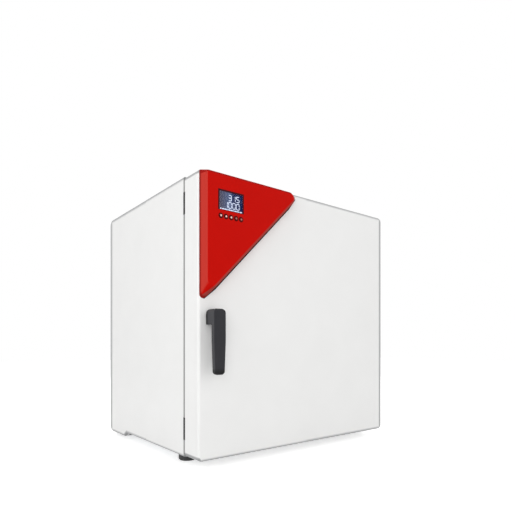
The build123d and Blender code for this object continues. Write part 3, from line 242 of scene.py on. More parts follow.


# Moulded thermoplastics: spark-eroded mould grain gives a soft broken highlight.
# A facet is a direction, a colour, and how far a face must lean that way for it to start
# and be full. A rim is a direction, a colour, and how far along it, in metres, the rim
# starts and is full.
# the facets and rims of the red and lever mouldings are painted light and shade
redAbs = {
    "name": "redMouldedAbs",
    "colour": "#C80E05",
    "cloud": "#C20D05",
    # painted light: the drafted left flank is painted paler, as if lit from the left
    "facets": [((-1.0, 0.0, 0.0), "#C6382F", 0.55, 0.85)],
    "rims": [
        # painted highlight: a paler band along the slanted rim
        ((0.7071, 0.0, -0.7071), "#A0403A", -0.5500, -0.5480),
        # painted shade: the top rim is painted darker
        ((0.0, 0.0, 1.0), "#A61612", 0.7200, 0.7215),
        # painted shade: the lower tip is painted darker
        ((0.0, 0.0, -1.0), "#6E0B0A", -0.4290, -0.4150),
        # painted shade: the root by the door is painted darker
        ((0.0, 1.0, 0.0), "#8E1C19", -0.3095, -0.3055),
    ],
    "grainMm": 1.6,  # real grain is 0.3 mm
    "cloudMm": 40.0,
    "roughness": 0.42,
    "spread": 0.06,
    "bump": 0.10,
    "specular": 0.03,
}
leverNylon = {
    "name": "darkGlassFilledNylon",
    "colour": "#2C2C30",
    "cloud": "#27272B",
    # painted light: the left flank is painted paler, as if lit from the left
    "facets": [((-1.0, 0.0, 0.0), "#414144", 0.55, 0.85)],
    # painted shade: the root by the door, the lower end and the top right corner are painted darker
    "rims": [
        ((0.0, 1.0, 0.0), "#1B1B1D", -0.3150, -0.3110),
        ((0.0, 0.0, -1.0), "#0F0F11", -0.2530, -0.2430),
        ((0.7071, 0.0, 0.7071), "#131315", 0.0560, 0.0600),
    ],
    "grainMm": 1.3,  # real grain is 0.4 mm
    "cloudMm": 24.0,
    "roughness": 0.50,
    "spread": 0.10,
    "bump": 0.16,
    "specular": 0.20,
}
blackPbt = {
    "name": "blackMouldedPbt", "colour": "#18181A", "cloud": "#202022", "facets": [], "rims": [],
    "grainMm": 1.0, "cloudMm": 15.0, "roughness": 0.46, "spread": 0.12, "bump": 0.18, "specular": 0.45,
}
keyPlastic = {
    "name": "darkKeyAbs", "colour": "#520403", "cloud": "#5C0605", "facets": [], "rims": [],
    "grainMm": 0.8, "cloudMm": 5.0, "roughness": 0.40, "spread": 0.08, "bump": 0.10, "specular": 0.06,
}
naturalNylon = {
    "name": "naturalNylon", "colour": "#E2DDCF", "cloud": "#D6CFBC", "facets": [], "rims": [],
    "grainMm": 1.2, "cloudMm": 8.0, "roughness": 0.36, "spread": 0.08, "bump": 0.08, "specular": 0.50,
}
grainSpan = (0.3, 0.7)  # stretch of the grain's noise that takes the gloss from low to high


def makeMoulding(look):
    material, tree = newMaterial(look["name"])
    coords = addNode(tree, "ShaderNodeTexCoord").outputs
    place = coords["Object"]
    grain = addNode(tree, "ShaderNodeTexNoise", {
        "Vector": place, "Scale": perMillimetre(look["grainMm"]), "Detail": 3.0, "Roughness": 0.6})
    cloud = addNode(tree, "ShaderNodeTexNoise", {
        "Vector": place, "Scale": perMillimetre(look["cloudMm"]), "Detail": 2.0})
    colour = addNode(tree, "ShaderNodeMix", {0: cloud, 6: look["colour"], 7: look["cloud"]}, data_type="RGBA")
    for source, marks in ((coords["Normal"], look["facets"]), (place, look["rims"])):
        for way, shade, start, full in marks:
            along = addNode(tree, "ShaderNodeVectorMath", {0: source, 1: way}, operation="DOT_PRODUCT")
            share = addNode(tree, "ShaderNodeMapRange", {0: along, 1: start, 2: full})
            colour = addNode(tree, "ShaderNodeMix", {0: share, 6: colour, 7: shade}, data_type="RGBA")
    rough = addNode(tree, "ShaderNodeMapRange", {
        0: grain, 1: grainSpan[0], 2: grainSpan[1],
        3: look["roughness"] - look["spread"], 4: look["roughness"] + look["spread"]})
    bump = addNode(tree, "ShaderNodeBump", {"Height": grain, "Strength": look["bump"], "Distance": 0.0004})
    return finishMaterial(material, {
        "Base Color": colour, "Roughness": rough, "IOR": 1.5, "Specular IOR Level": look["specular"],
        "Normal": bump})


# Rubber and silicone: matt, with a faint bloom and the rings of a turned mould.
footRubber = {"name": "blackMouldedRubber", "colour": "#2B2B2C", "bloom": "#444444", "bloomMm": 9.0,
              "grainMm": 0.9, "ringMm": 3.0, "ringShare": 0.6, "roughness": 0.72, "sheen": 0.12}
sealSilicone = {"name": "greyExtrudedSilicone", "colour": "#8C8C8A", "bloom": "#9A9A97", "bloomMm": 20.0,
                "grainMm": 1.0, "ringMm": 2.4, "ringShare": 0.6, "roughness": 0.60, "sheen": 0.10}


def makeRubber(look):
    material, tree = newMaterial(look["name"])
    place = addNode(tree, "ShaderNodeTexCoord").outputs["Object"]
    bloom = addNode(tree, "ShaderNodeTexNoise", {
        "Vector": place, "Scale": perMillimetre(look["bloomMm"]), "Detail": 4.0})
    grain = addNode(tree, "ShaderNodeTexNoise", {
        "Vector": place, "Scale": perMillimetre(look["grainMm"]), "Detail": 2.0})
    # the wave texture draws 20 bands to a unit of its scale
    rings = addNode(tree, "ShaderNodeTexWave", {
        "Vector": place, "Scale": perMillimetre(look["ringMm"]) / 20.0, "Distortion": 0.0},
        bands_direction="Z").outputs["Fac"]
    colour = addNode(tree, "ShaderNodeMix", {0: bloom, 6: look["colour"], 7: look["bloom"]}, data_type="RGBA")
    height = addNode(tree, "ShaderNodeMath", {
        0: rings, 1: look["ringShare"], 2: grain}, operation="MULTIPLY_ADD")
    bump = addNode(tree, "ShaderNodeBump", {"Height": height, "Strength": 0.25, "Distance": 0.0005})
    return finishMaterial(material, {
        "Base Color": colour, "Roughness": look["roughness"], "IOR": 1.5, "Sheen Weight": look["sheen"],
        "Normal": bump})


# Ground and polished stainless sheet: fine parallel scratches stretch the highlight
# along the grain, which runs round the chamber at one height.
groundStainless = {"name": "groundStainlessSteel", "colour": "#C6C7C8", "tint": "#B4B5B6",
                   "scratchMm": 0.9, "alongMm": 70.0, "smearMm": 120.0, "floorLean": 0.7,
                   "glossSpan": (0.7, 1.3), "roughness": 0.30, "spread": 0.09, "bump": 0.05}


def makeGroundSheet(look):
    material, tree = newMaterial(look["name"])
    coords = addNode(tree, "ShaderNodeTexCoord").outputs
    place = coords["Object"]
    fine = perMillimetre(look["scratchMm"])
    coarse = perMillimetre(look["alongMm"])
    onWalls, onFloors = [
        addNode(tree, "ShaderNodeVectorMath", {0: place, 1: stretch}, operation="MULTIPLY")
        for stretch in ((coarse, coarse, fine), (coarse, fine, coarse))]
    level = addNode(tree, "ShaderNodeSeparateXYZ", {0: coords["Normal"]}).outputs[2]
    level = addNode(tree, "ShaderNodeMath", {0: level}, operation="ABSOLUTE")
    isFloor = addNode(tree, "ShaderNodeMath", {0: level, 1: look["floorLean"]}, operation="GREATER_THAN")
    way = addNode(tree, "ShaderNodeMix", {0: isFloor, 4: onWalls, 5: onFloors}, data_type="VECTOR")
    # the way is scaled already, so this noise isn't
    scratch = addNode(tree, "ShaderNodeTexNoise", {
        "Vector": way, "Scale": 1.0, "Detail": 3.0, "Roughness": 0.7})
    smear = addNode(tree, "ShaderNodeTexNoise", {
        "Vector": place, "Scale": perMillimetre(look["smearMm"]), "Detail": 2.0})
    colour = addNode(tree, "ShaderNodeMix", {
        0: scratch, 6: look["colour"], 7: look["tint"]}, data_type="RGBA")
    both = addNode(tree, "ShaderNodeMath", {0: scratch, 1: smear}, operation="ADD")
    rough = addNode(tree, "ShaderNodeMapRange", {
        0: both, 1: look["glossSpan"][0], 2: look["glossSpan"][1],
        3: look["roughness"] - look["spread"], 4: look["roughness"] + look["spread"]})
    bump = addNode(tree, "ShaderNodeBump", {"Height": scratch, "Strength": look["bump"], "Distance": 0.0003})
    return finishMaterial(material, {
        "Base Color": colour, "Metallic": 1.0, "Roughness": rough, "Normal": bump})


# Hot-dip galvanised sheet: zinc crystals, each with its own grey and gloss.
spangledZinc = {"name": "hotDipGalvanisedSteel", "dark": "#8F9396", "pale": "#B7BABC",
                "crystalMm": 11.0, "roughLow": 0.34, "roughHigh": 0.56}


def makeSpangledSheet(look):
    material, tree = newMaterial(look["name"])
    place = addNode(tree, "ShaderNodeTexCoord").outputs["Object"]
    crystals = addNode(tree, "ShaderNodeTexVoronoi", {
        "Vector": place, "Scale": perMillimetre(look["crystalMm"])}).outputs["Color"]
    grey, gloss, height = addNode(tree, "ShaderNodeSeparateColor", {0: crystals}).outputs
    colour = addNode(tree, "ShaderNodeMix", {0: grey, 6: look["dark"], 7: look["pale"]}, data_type="RGBA")
    rough = addNode(tree, "ShaderNodeMapRange", {0: gloss, 3: look["roughLow"], 4: look["roughHigh"]})
    bump = addNode(tree, "ShaderNodeBump", {"Height": height, "Strength": 0.08, "Distance": 0.0003})
    return finishMaterial(material, {
        "Base Color": colour, "Metallic": 1.0, "Roughness": rough, "Normal": bump})


# Small metal parts. Zinc plate keeps the turning marks under a faintly blue film,
# electropolished wire is almost a mirror, a casting shows the sand of its die, and
# the heater's sheath has run through straw and blue with the heat.
zincPlate = {"name": "blueZincPlatedSteel", "colour": "#B9BEC4", "stain": "#A7A9A6", "stainMm": 7.0,
             "grainMm": 0.7, "roughness": 0.30, "spread": 0.08, "bump": 0.10}
polishedWire = {"name": "electropolishedStainlessWire", "colour": "#CDCED0", "stain": "#BEBFC0",
                "stainMm": 30.0, "grainMm": 1.5, "roughness": 0.16, "spread": 0.05, "bump": 0.04}
sandCasting = {"name": "dieCastAluminium", "colour": "#A9ABAE", "stain": "#96989B", "stainMm": 14.0,
               "grainMm": 1.1, "roughness": 0.48, "spread": 0.08, "bump": 0.30}
heatedSheath = {"name": "heatTintedNickelAlloy", "colour": "#7C7068", "stain": "#4F4A58", "stainMm": 22.0,
                "grainMm": 0.8, "roughness": 0.42, "spread": 0.10, "bump": 0.12}


def makeSmallMetal(look):
    material, tree = newMaterial(look["name"])
    place = addNode(tree, "ShaderNodeTexCoord").outputs["Object"]
    stain, grain = [
        addNode(tree, "ShaderNodeTexNoise", {"Vector": place, "Scale": perMillimetre(size), "Detail": 3.0})
        for size in (look["stainMm"], look["grainMm"])]
    colour = addNode(tree, "ShaderNodeMix", {0: stain, 6: look["colour"], 7: look["stain"]}, data_type="RGBA")
    rough = addNode(tree, "ShaderNodeMapRange", {
        0: grain, 1: grainSpan[0], 2: grainSpan[1],
        3: look["roughness"] - look["spread"], 4: look["roughness"] + look["spread"]})
    bump = addNode(tree, "ShaderNodeBump", {"Height": grain, "Strength": look["bump"], "Distance": 0.0003})
    return finishMaterial(material, {
        "Base Color": colour, "Metallic": 1.0, "Roughness": rough, "Normal": bump})


# Resin-bonded mineral fibre: matt, with long tangled fibres and darker shot.
mineralFelt = {"name": "bondedMineralFibre", "straw": "#C2B079", "brown": "#8A7A4C", "fibreMm": 1.2,
               "fibresPerCell": 3.0, "clumpMm": 18.0, "strawSpan": (0.12, 0.42), "roughness": 0.95,
               "sheen": 0.2}


def makeFibreFelt(look):
    material, tree = newMaterial(look["name"])
    place = addNode(tree, "ShaderNodeTexCoord").outputs["Object"]
    cellMm = look["fibreMm"] * look["fibresPerCell"]
    clump = addNode(tree, "ShaderNodeTexNoise", {
        "Vector": place, "Scale": perMillimetre(look["clumpMm"]), "Detail": 5.0, "Distortion": 1.5})
    fibre = addNode(tree, "ShaderNodeTexNoise", {
        "Vector": place, "Scale": perMillimetre(cellMm), "Detail": 6.0, "Distortion": 3.0})
    both = addNode(tree, "ShaderNodeMath", {0: clump, 1: fibre}, operation="MULTIPLY")
    share = addNode(tree, "ShaderNodeMapRange", {0: both, 1: look["strawSpan"][0], 2: look["strawSpan"][1]})
    colour = addNode(tree, "ShaderNodeMix", {0: share, 6: look["brown"], 7: look["straw"]}, data_type="RGBA")
    bump = addNode(tree, "ShaderNodeBump", {"Height": fibre, "Strength": 0.7, "Distance": 0.002})
    return finishMaterial(material, {
        "Base Color": colour, "Roughness": look["roughness"], "Sheen Weight": look["sheen"], "Normal": bump})


# Fibreglass board under green solder mask: tracks show as paler lines, and what
# stands on the board is black moulded packages.
solderMask = {"name": "greenSolderMask", "mask": "#1C5733", "track": "#2F7A4B", "package": "#141415",
              "trackMm": 5.0, "linesPerTrack": 6.0, "trackShare": 0.55, "boardLean": 0.8, "roughness": 0.34}


def makeCircuitBoard(look):
    material, tree = newMaterial(look["name"])
    coords = addNode(tree, "ShaderNodeTexCoord").outputs
    tracks = addNode(tree, "ShaderNodeTexVoronoi", {
        "Vector": coords["Object"], "Scale": perMillimetre(look["trackMm"])},
        distance="MANHATTAN").outputs["Distance"]
    line = addNode(tree, "ShaderNodeMath", {0: tracks, 1: look["linesPerTrack"]}, operation="MULTIPLY")
    line = addNode(tree, "ShaderNodeMath", {0: line}, operation="FRACT")
    share = addNode(tree, "ShaderNodeMath", {0: line, 1: look["trackShare"]}, operation="GREATER_THAN")
    board = addNode(tree, "ShaderNodeMix", {0: share, 6: look["mask"], 7: look["track"]}, data_type="RGBA")
    # only the faces that look front or back are board, the rest are package sides
    flat = addNode(tree, "ShaderNodeSeparateXYZ", {0: coords["Normal"]}).outputs[1]
    flat = addNode(tree, "ShaderNodeMath", {0: flat}, operation="ABSOLUTE")
    side = addNode(tree, "ShaderNodeMath", {0: flat, 1: look["boardLean"]}, operation="LESS_THAN")
    colour = addNode(tree, "ShaderNodeMix", {0: side, 6: board, 7: look["package"]}, data_type="RGBA")
    bump = addNode(tree, "ShaderNodeBump", {"Height": share, "Strength": 0.15, "Distance": 0.0002})
    return finishMaterial(material, {"Base Color": colour, "Roughness": look["roughness"], "Normal": bump})


# Cast acrylic window, clear and glossy, over a transflective liquid-crystal display whose glow is painted
# paler towards the left as a painted reflection of glare.
clearAcrylic = {"name": "clearCastAcrylic", "colour": "#F4F6FA", "wipeMm": 12.0, "wipeSpan": (0.4, 0.7),
                "roughLow": 0.015, "roughHigh": 0.03, "presence": 0.16}
liquidCrystal = {
    "name": "blueLiquidCrystal",
    "glass": "#07080C",
    # colours from left to right, each with its place between the two ends
    # painted reflection: the paler left end stands for glare on the window
    "left": ("#504E62", 0.10),
    "middle": ("#56658A", 0.46),
    "right": ("#0C1F52", 0.64),
    "ends": (-0.316, -0.242),
    "cellMm": 0.8,
    "cellShade": (0.94, 0.95, 0.96, 1.0),
    "glow": 0.90,
}
liquidCrystalLit = {"name": "litCrystalSegment", "colour": "#C3D3F5", "pale": "#E8EEFC", "glow": 1.20,
                    "cellMm": 0.9}


def makeAcrylic(look):
    material, tree = newMaterial(look["name"])
    place = addNode(tree, "ShaderNodeTexCoord").outputs["Object"]
    wipe = addNode(tree, "ShaderNodeTexNoise", {
        "Vector": place, "Scale": perMillimetre(look["wipeMm"]), "Detail": 3.0})
    rough = addNode(tree, "ShaderNodeMapRange", {
        0: wipe, 1: look["wipeSpan"][0], 2: look["wipeSpan"][1], 3: look["roughLow"], 4: look["roughHigh"]})
    return finishMaterial(material, {
        "Base Color": look["colour"], "Roughness": rough, "IOR": 1.49, "Transmission Weight": 1.0,
        "Alpha": look["presence"]})


def makeDisplay(look):
    material, tree = newMaterial(look["name"])
    place = addNode(tree, "ShaderNodeTexCoord").outputs["Object"]
    across = addNode(tree, "ShaderNodeSeparateXYZ", {0: place}).outputs[0]
    across = addNode(tree, "ShaderNodeMapRange", {0: across, 1: look["ends"][0], 2: look["ends"][1]})
    ramp = addNode(tree, "ShaderNodeValToRGB", {0: across})
    stops = ramp.color_ramp.elements
    for stop, (shade, position) in ((stops[0], look["left"]), (stops[1], look["right"])):
        stop.position = position
        stop.color = hexToLinear(shade)
    shade, position = look["middle"]
    stops.new(position).color = hexToLinear(shade)
    cells = addNode(tree, "ShaderNodeTexChecker", {
        "Vector": place, "Scale": perMillimetre(look["cellMm"]), "Color1": (1, 1, 1, 1),
        "Color2": look["cellShade"]})
    colour = addNode(tree, "ShaderNodeMix", {
        0: 1.0, 6: ramp, 7: cells}, data_type="RGBA", blend_type="MULTIPLY")
    return finishMaterial(material, {
        "Base Color": look["glass"], "Roughness": 0.22, "Specular IOR Level": 0.1,
        "Emission Color": colour, "Emission Strength": look["glow"]})


def makeLitSegment(look):
    material, tree = newMaterial(look["name"])
    place = addNode(tree, "ShaderNodeTexCoord").outputs["Object"]
    cells = addNode(tree, "ShaderNodeTexNoise", {
        "Vector": place, "Scale": perMillimetre(look["cellMm"]), "Detail": 2.0})
    colour = addNode(tree, "ShaderNodeMix", {0: cells, 6: look["colour"], 7: look["pale"]}, data_type="RGBA")
    return finishMaterial(material, {
        "Base Color": liquidCrystal["glass"], "Roughness": 0.3, "Specular IOR Level": 0.1,
        "Emission Color": colour, "Emission Strength": look["glow"]})


# Pad-printed and translucent marks, black foam, and the dark strip of painted shadow under the panel: thin,
# slightly uneven at this size.
whiteInk = {"name": "whitePadPrint", "colour": "#E9E7E4", "thin": "#D3CFCB", "grainMm": 1.4, "glow": 0.0,
            "specular": 0.35}
greyInk = {"name": "greyPadPrint", "colour": "#5E5F61", "thin": "#6F7072", "grainMm": 1.4, "glow": 0.0,
           "specular": 0.35}
keyLensLit = {"name": "litKeyLens", "colour": "#EFC9C4", "thin": "#E2AFA8", "grainMm": 1.0, "glow": 0.10,
              "specular": 0.35}
keyLensDim = {"name": "dimKeyLens", "colour": "#B46F68", "thin": "#A35C55", "grainMm": 1.0, "glow": 0.0,
              "specular": 0.35}
borderInk = {"name": "plumScreenPrint", "colour": "#470E15", "thin": "#3E0B12", "grainMm": 1.2,
             "glow": 0.0, "specular": 0.06}
slantShade = {"name": "paintedSlantShade", "colour": "#160909", "thin": "#1E0E0E", "grainMm": 0.9,
                "glow": 0.0, "specular": 0.04}
plugFoam = {"name": "blackFoamPlug", "colour": "#0E0E0F", "thin": "#161617", "grainMm": 0.9, "glow": 0.0,
            "specular": 0.04}
thinSpan = (0.42, 0.68)  # where in its noise a print starts to thin and is thinnest


def makePrint(look):
    material, tree = newMaterial(look["name"])
    place = addNode(tree, "ShaderNodeTexCoord").outputs["Object"]
    grain = addNode(tree, "ShaderNodeTexNoise", {
        "Vector": place, "Scale": perMillimetre(look["grainMm"]), "Detail": 3.0})
    share = addNode(tree, "ShaderNodeMapRange", {0: grain, 1: thinSpan[0], 2: thinSpan[1]})
    colour = addNode(tree, "ShaderNodeMix", {0: share, 6: look["colour"], 7: look["thin"]}, data_type="RGBA")
    bump = addNode(tree, "ShaderNodeBump", {"Height": grain, "Strength": 0.08, "Distance": 0.0002})
    surface = {"Base Color": colour, "Roughness": 0.5, "Specular IOR Level": look["specular"], "Normal": bump}
    if look["glow"] > 0:
        surface.update({"Emission Color": colour, "Emission Strength": look["glow"]})
    return finishMaterial(material, surface)


casingLow, casingHigh = [Vector(corner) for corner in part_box("outer_casing")]
doorLow, doorHigh = [Vector(corner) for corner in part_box("door_shell")]
casingFront = casingLow.y
doorBack = doorHigh.y
# the edges that face each other across the door gap get no painted edge shade, so each box runs on past them;
# the casing's box ends where its sides do in front of the skirt, and the door's is drawn in at its rounder
# right edge
casingLow.y -= powderCoat["openReach"]
casingLow.z += powderCoat["skirtDrop"][2] - powderCoat["skirtLap"]
doorHigh.y += powderCoat["openReach"]
doorHigh.x -= powderCoat["rightDraw"]
finishes = {
    "white_paint": makePowderCoat(
        powderCoat, "powderCoatedCasing", powderCoat["casingEdgeShade"], casingLow, casingHigh,
        casingFront, powderCoat["casingPlugShade"]),
    "red_plastic": makeMoulding(redAbs),
    "dark_plastic": makeMoulding(leverNylon),
    "black_rubber": makeRubber(footRubber),
    "grey_rubber": makeRubber(sealSilicone),
    "black_plastic": makeMoulding(blackPbt),
    "stainless": makeGroundSheet(groundStainless),
    "galvanised": makeSpangledSheet(spangledZinc),
    "zinc_steel": makeSmallMetal(zincPlate),
    "bright_wire": makeSmallMetal(polishedWire),
    "die_cast": makeSmallMetal(sandCasting),
    "mineral_wool": makeFibreFelt(mineralFelt),
    "clear_window": makeAcrylic(clearAcrylic),
    "display": makeDisplay(liquidCrystal),
    "circuit_board": makeCircuitBoard(solderMask),
    "key_caps": makeMoulding(keyPlastic),
    "nylon": makeMoulding(naturalNylon),
    "heater_sheath": makeSmallMetal(heatedSheath),
}
for part in frame["record"]["subparts"]:
    node = nodes[part["node"]]
    node.data.materials.clear()
    node.data.materials.append(finishes[part["material_slot"]])
nodes["door_shell"].data.materials[0] = makePowderCoat(
    powderCoat, "powderCoatedDoor", powderCoat["doorEdgeShade"], doorLow, doorHigh,
    doorBack, powderCoat["doorPlugShade"], withDoorShades=True)
print("finishes made:", len(finishes) + 1)


def addPiece(name, mesh, material, body):
    # puts a finished bmesh into the scene, on its body
    bmesh.ops.recalc_face_normals(mesh, faces=mesh.faces)
    data = bpy.data.meshes.new(name)
    mesh.to_mesh(data)
    mesh.free()
    data.materials.append(material)
    piece = bpy.data.objects.new(name, data)
    bpy.context.scene.collection.objects.link(piece)
    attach(piece, body)
    return piece


def roundedCorners(corners, radius, steps):
    # outline in front view with each corner replaced by an arc
    points = []
    count = len(corners)
    for i in range(count):
        here = Vector(corners[i])
        before = (Vector(corners[i - 1]) - here).normalized()
        after = (Vector(corners[(i + 1) % count]) - here).normalized()
        half = before.angle(after) / 2
        reach = radius / math.tan(half)
        centre = here + (before + after).normalized() * radius / math.sin(half)
        start = here + before * reach - centre
        end = here + after * reach - centre
        turn = start.angle_signed(end)
        for step in range(steps + 1):
            points.append(centre + Matrix.Rotation(-turn * step / steps, 2) @ start)
    return points


def middleOf(low, high):
    # middle of a box in front view
    return (low.x + high.x) / 2, (low.z + high.z) / 2


def circlePoints(x, z, radius, count=32):
    turns = [2 * math.pi * i / count for i in range(count)]
    return [Vector((x + radius * math.cos(turn), z + radius * math.sin(turn))) for turn in turns]


def rectangle(sides):
    left, low, right, high = sides
    return [Vector(p) for p in ((left, low), (right, low), (right, high), (left, high))]


def addRow(mesh, points, y):
    return [mesh.verts.new((p.x, y, p.y)) for p in points]


def joinRows(mesh, rows):
    # faces between each ring of vertices and the next
    for a, b in zip(rows, rows[1:]):
        for i in range(len(a)):
            j = (i + 1) % len(a)
            mesh.faces.new((a[i], a[j], b[j], b[i]))


def bridgeRings(mesh, rings):
    # closed band through rings of (points, depth)
    rows = [addRow(mesh, points, y) for points, y in rings]
    joinRows(mesh, rows + rows[:1])


def extrudeOutline(mesh, points, front, back, edge=0.0):
    # closed outline in front view made thick, its front rim cut back by edge
    middle = sum(points, Vector((0, 0))) / len(points)
    rings = [(0.0, back), (0.0, front + edge), (edge, front)] if edge > 0 else [(0.0, back), (0.0, front)]
    rows = [addRow(mesh, [p + (middle - p).normalized() * inset for p in points], y) for inset, y in rings]
    joinRows(mesh, rows)
    mesh.faces.new(rows[0])
    mesh.faces.new(list(reversed(rows[-1])))


# Painted shadow under the slanted side of the panel housing: a thin dark strip on the door.
slantShadeStrip = {"left": -0.352, "top": 0.732, "leg": 0.325, "inside": 0.006, "outside": 0.0049,
               "endGap": 0.018, "taper": 0.040, "thickness": 0.0009, "edge": 0.0003, "corner": 0.001,
               "cornerSteps": 10}


def makeSlantShadeStrip(look):
    # the strip runs between the two ends of the slant, clear of the rounded tips
    low = Vector((look["left"], look["top"] - look["leg"]))
    high = Vector((look["left"] + look["leg"], look["top"]))
    along = (high - low).normalized()
    out = Vector((along.y, -along.x))
    low = low + along * look["endGap"]
    high = high - along * look["endGap"]
    corners = [low - out * look["inside"], low, low + along * look["taper"] + out * look["outside"],
               high - along * look["taper"] + out * look["outside"], high, high - out * look["inside"]]
    mesh = bmesh.new()
    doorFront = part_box("door_shell")[0].y
    outline = roundedCorners(corners, look["corner"], look["cornerSteps"])
    extrudeOutline(mesh, outline, doorFront - look["thickness"], doorFront, look["edge"])
    addPiece("slantShadeStrip", mesh, makePrint(slantShade), "door")


makeSlantShadeStrip(slantShadeStrip)


# Dark printed border round the display, over the rim of its window.
displayBorder = {"outer": (-0.3162, 0.6363, -0.2398, 0.6862), "inner": (-0.3124, 0.6378, -0.2436, 0.6820),
                 "thickness": 0.00015, "corner": 0.0015, "cornerSteps": 6}


def makeDisplayBorder(look):
    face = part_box("control_panel")[0].y
    outer, inner = [roundedCorners(rectangle(look[side]), look["corner"], look["cornerSteps"])
                    for side in ("outer", "inner")]
    front = face - look["thickness"]
    mesh = bmesh.new()
    bridgeRings(mesh, [(outer, face), (outer, front), (inner, front), (inner, face)])
    addPiece("displayBorder", mesh, makePrint(borderInk), "door")


makeDisplayBorder(displayBorder)


# Seven-segment figures and a row of status dashes on the display.
displayFigures = {
    "rows": [
        {"text": "31.5", "bottom": 0.6622, "height": 0.0152},
        {"text": "100.0", "bottom": 0.6438, "height": 0.0160},
    ],
    "right": -0.2500,
    "width": 0.0100,
    "pitch": 0.0117,
    "stroke": 0.0018,
    "point": 0.0014,
    "joint": 0.12,
    "lift": 0.00006,
    "dashCount": 11,
    "dashHeight": 0.0034,
    "dashBottom": 0.6382,
    "dashLeft": -0.3090,
    "dashRight": -0.2436,
    # share of its pitch that a dash fills, every third one being shorter
    "dashShares": (0.66, 0.84, 0.84),
    "corner": 0.25,
    "cornerSteps": 3,
}
segmentsOf = {
    "0": "abcdef", "1": "bc", "2": "abged", "3": "abgcd", "4": "fgbc", "5": "afgcd",
    "6": "afgecd", "7": "abc", "8": "abcdefg", "9": "abcdfg",
}


def addBar(mesh, x1, z1, x2, z2, stroke, front, back):
    # one segment with pointed ends
    start = Vector((x1, z1))
    end = Vector((x2, z2))
    along = (end - start).normalized()
    side = Vector((-along.y, along.x)) * stroke / 2
    tip = along * stroke / 2
    points = [start, start + tip + side, end - tip + side, end, end - tip - side, start + tip - side]
    extrudeOutline(mesh, points, front, back)


def addFigure(mesh, sign, left, bottom, width, height, stroke, front, back):
    half = stroke / 2
    right = left + width - half
    left = left + half
    low = bottom + half
    high = bottom + height - half
    middle = bottom + height / 2
    gap = stroke * displayFigures["joint"]
    lines = {
        "a": (left + gap, high, right - gap, high), "b": (right, middle + gap, right, high - gap),
        "c": (right, low + gap, right, middle - gap), "d": (left + gap, low, right - gap, low),
        "e": (left, low + gap, left, middle - gap), "f": (left, middle + gap, left, high - gap),
        "g": (left + gap, middle, right - gap, middle),
    }
    for segment in segmentsOf[sign]:
        addBar(mesh, *lines[segment], stroke, front, back)


def addDash(mesh, look, sides, back):
    # a small rectangle with rounded corners on the display
    radius = (sides[3] - sides[1]) * look["corner"]
    outline = roundedCorners(rectangle(sides), radius, look["cornerSteps"])
    extrudeOutline(mesh, outline, back - look["lift"], back)


def makeDisplayFigures(look):
    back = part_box("display_module")[0].y
    front = back - look["lift"]
    mesh = bmesh.new()
    for row in look["rows"]:
        signs = [s for s in row["text"] if s != "."]
        pointAfter = row["text"].index(".") - 1
        for i, sign in enumerate(signs):
            left = look["right"] - (len(signs) - i) * look["pitch"]
            low = row["bottom"]
            addFigure(mesh, sign, left, low, look["width"], row["height"], look["stroke"], front, back)
            if i == pointAfter:
                x = left + (look["width"] + look["pitch"] - look["point"]) / 2
                addDash(mesh, look, (x, low, x + look["point"], low + look["point"]), back)
    lit = makeLitSegment(liquidCrystalLit)
    addPiece("displayFigures", mesh, lit, "door")
    mesh = bmesh.new()
    pitch = (look["dashRight"] - look["dashLeft"]) / look["dashCount"]
    low = look["dashBottom"]
    for i in range(look["dashCount"]):
        left = look["dashLeft"] + i * pitch
        right = left + pitch * look["dashShares"][i % 3]
        addDash(mesh, look, (left, low, right, low + look["dashHeight"]), back)
    addPiece("displayStatusRow", mesh, lit, "door")


makeDisplayFigures(displayFigures)
print("display done")


# Domed light-guide in the middle of each key, and the raised dark ring round it.
keyLens = {"radius": 0.0025, "rise": 0.00035, "sink": 0.0002, "lit": 3, "rings": 5, "sides": 28}
keyRing = {"inner": 0.0050, "outer": 0.0068, "rise": 0.0004, "edge": 0.0003, "sides": 36}
keyNumbers = range(1, 6)


def makeKeyRings(look):
    # one ring moulded round each key's hole, on the panel
    mesh = bmesh.new()
    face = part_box("control_panel")[0].y
    profile = [(look["inner"], face), (look["inner"], face - look["rise"]),
               (look["outer"] - look["edge"], face - look["rise"]), (look["outer"], face)]
    for number in keyNumbers:
        x, z = middleOf(*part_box(f"key_{number}"))
        bridgeRings(mesh, [(circlePoints(x, z, radius, look["sides"]), y) for radius, y in profile])
    addPiece("keyRings", mesh, finishes["key_caps"], "door")


makeKeyRings(keyRing)


def makeKeyLens(number, look):
    low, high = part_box(f"key_{number}")
    x, z = middleOf(low, high)
    profile = [(look["radius"], low.y + look["sink"])]
    for ring in range(look["rings"]):
        angle = math.pi / 2 * ring / look["rings"]
        profile.append((look["radius"] * math.cos(angle), low.y - look["rise"] * math.sin(angle)))
    mesh = bmesh.new()
    rows = [addRow(mesh, circlePoints(x, z, radius, look["sides"]), y) for radius, y in profile]
    joinRows(mesh, rows)
    top = mesh.verts.new((x, low.y - look["rise"], z))
    rim = rows[-1]
    for i in range(look["sides"]):
        mesh.faces.new((rim[i], rim[(i + 1) % look["sides"]], top))
    mesh.faces.new(list(reversed(rows[0])))
    for face in mesh.faces:
        face.smooth = len(face.verts) < 5
    lens = keyLensLit if number <= look["lit"] else keyLensDim
    addPiece(f"keyLens_{number}", mesh, lensMaterials[lens["name"]], f"key_{number}")


lensMaterials = {look["name"]: makePrint(look) for look in (keyLensLit, keyLensDim)}
for number in keyNumbers:
    makeKeyLens(number, keyLens)
print("keys done")


# Painted shade in the door gap on the latch side: a grey strip stands in for the gap's shade, with black foam
# plugs where the hinges could be moved to.
gapShadeStrip = {"inset": 0.0002, "depth": 0.010, "clearance": 0.0002, "round": 0.0012, "roundSteps": 5,
           "endGap": 0.008, "edge": 0.0003}


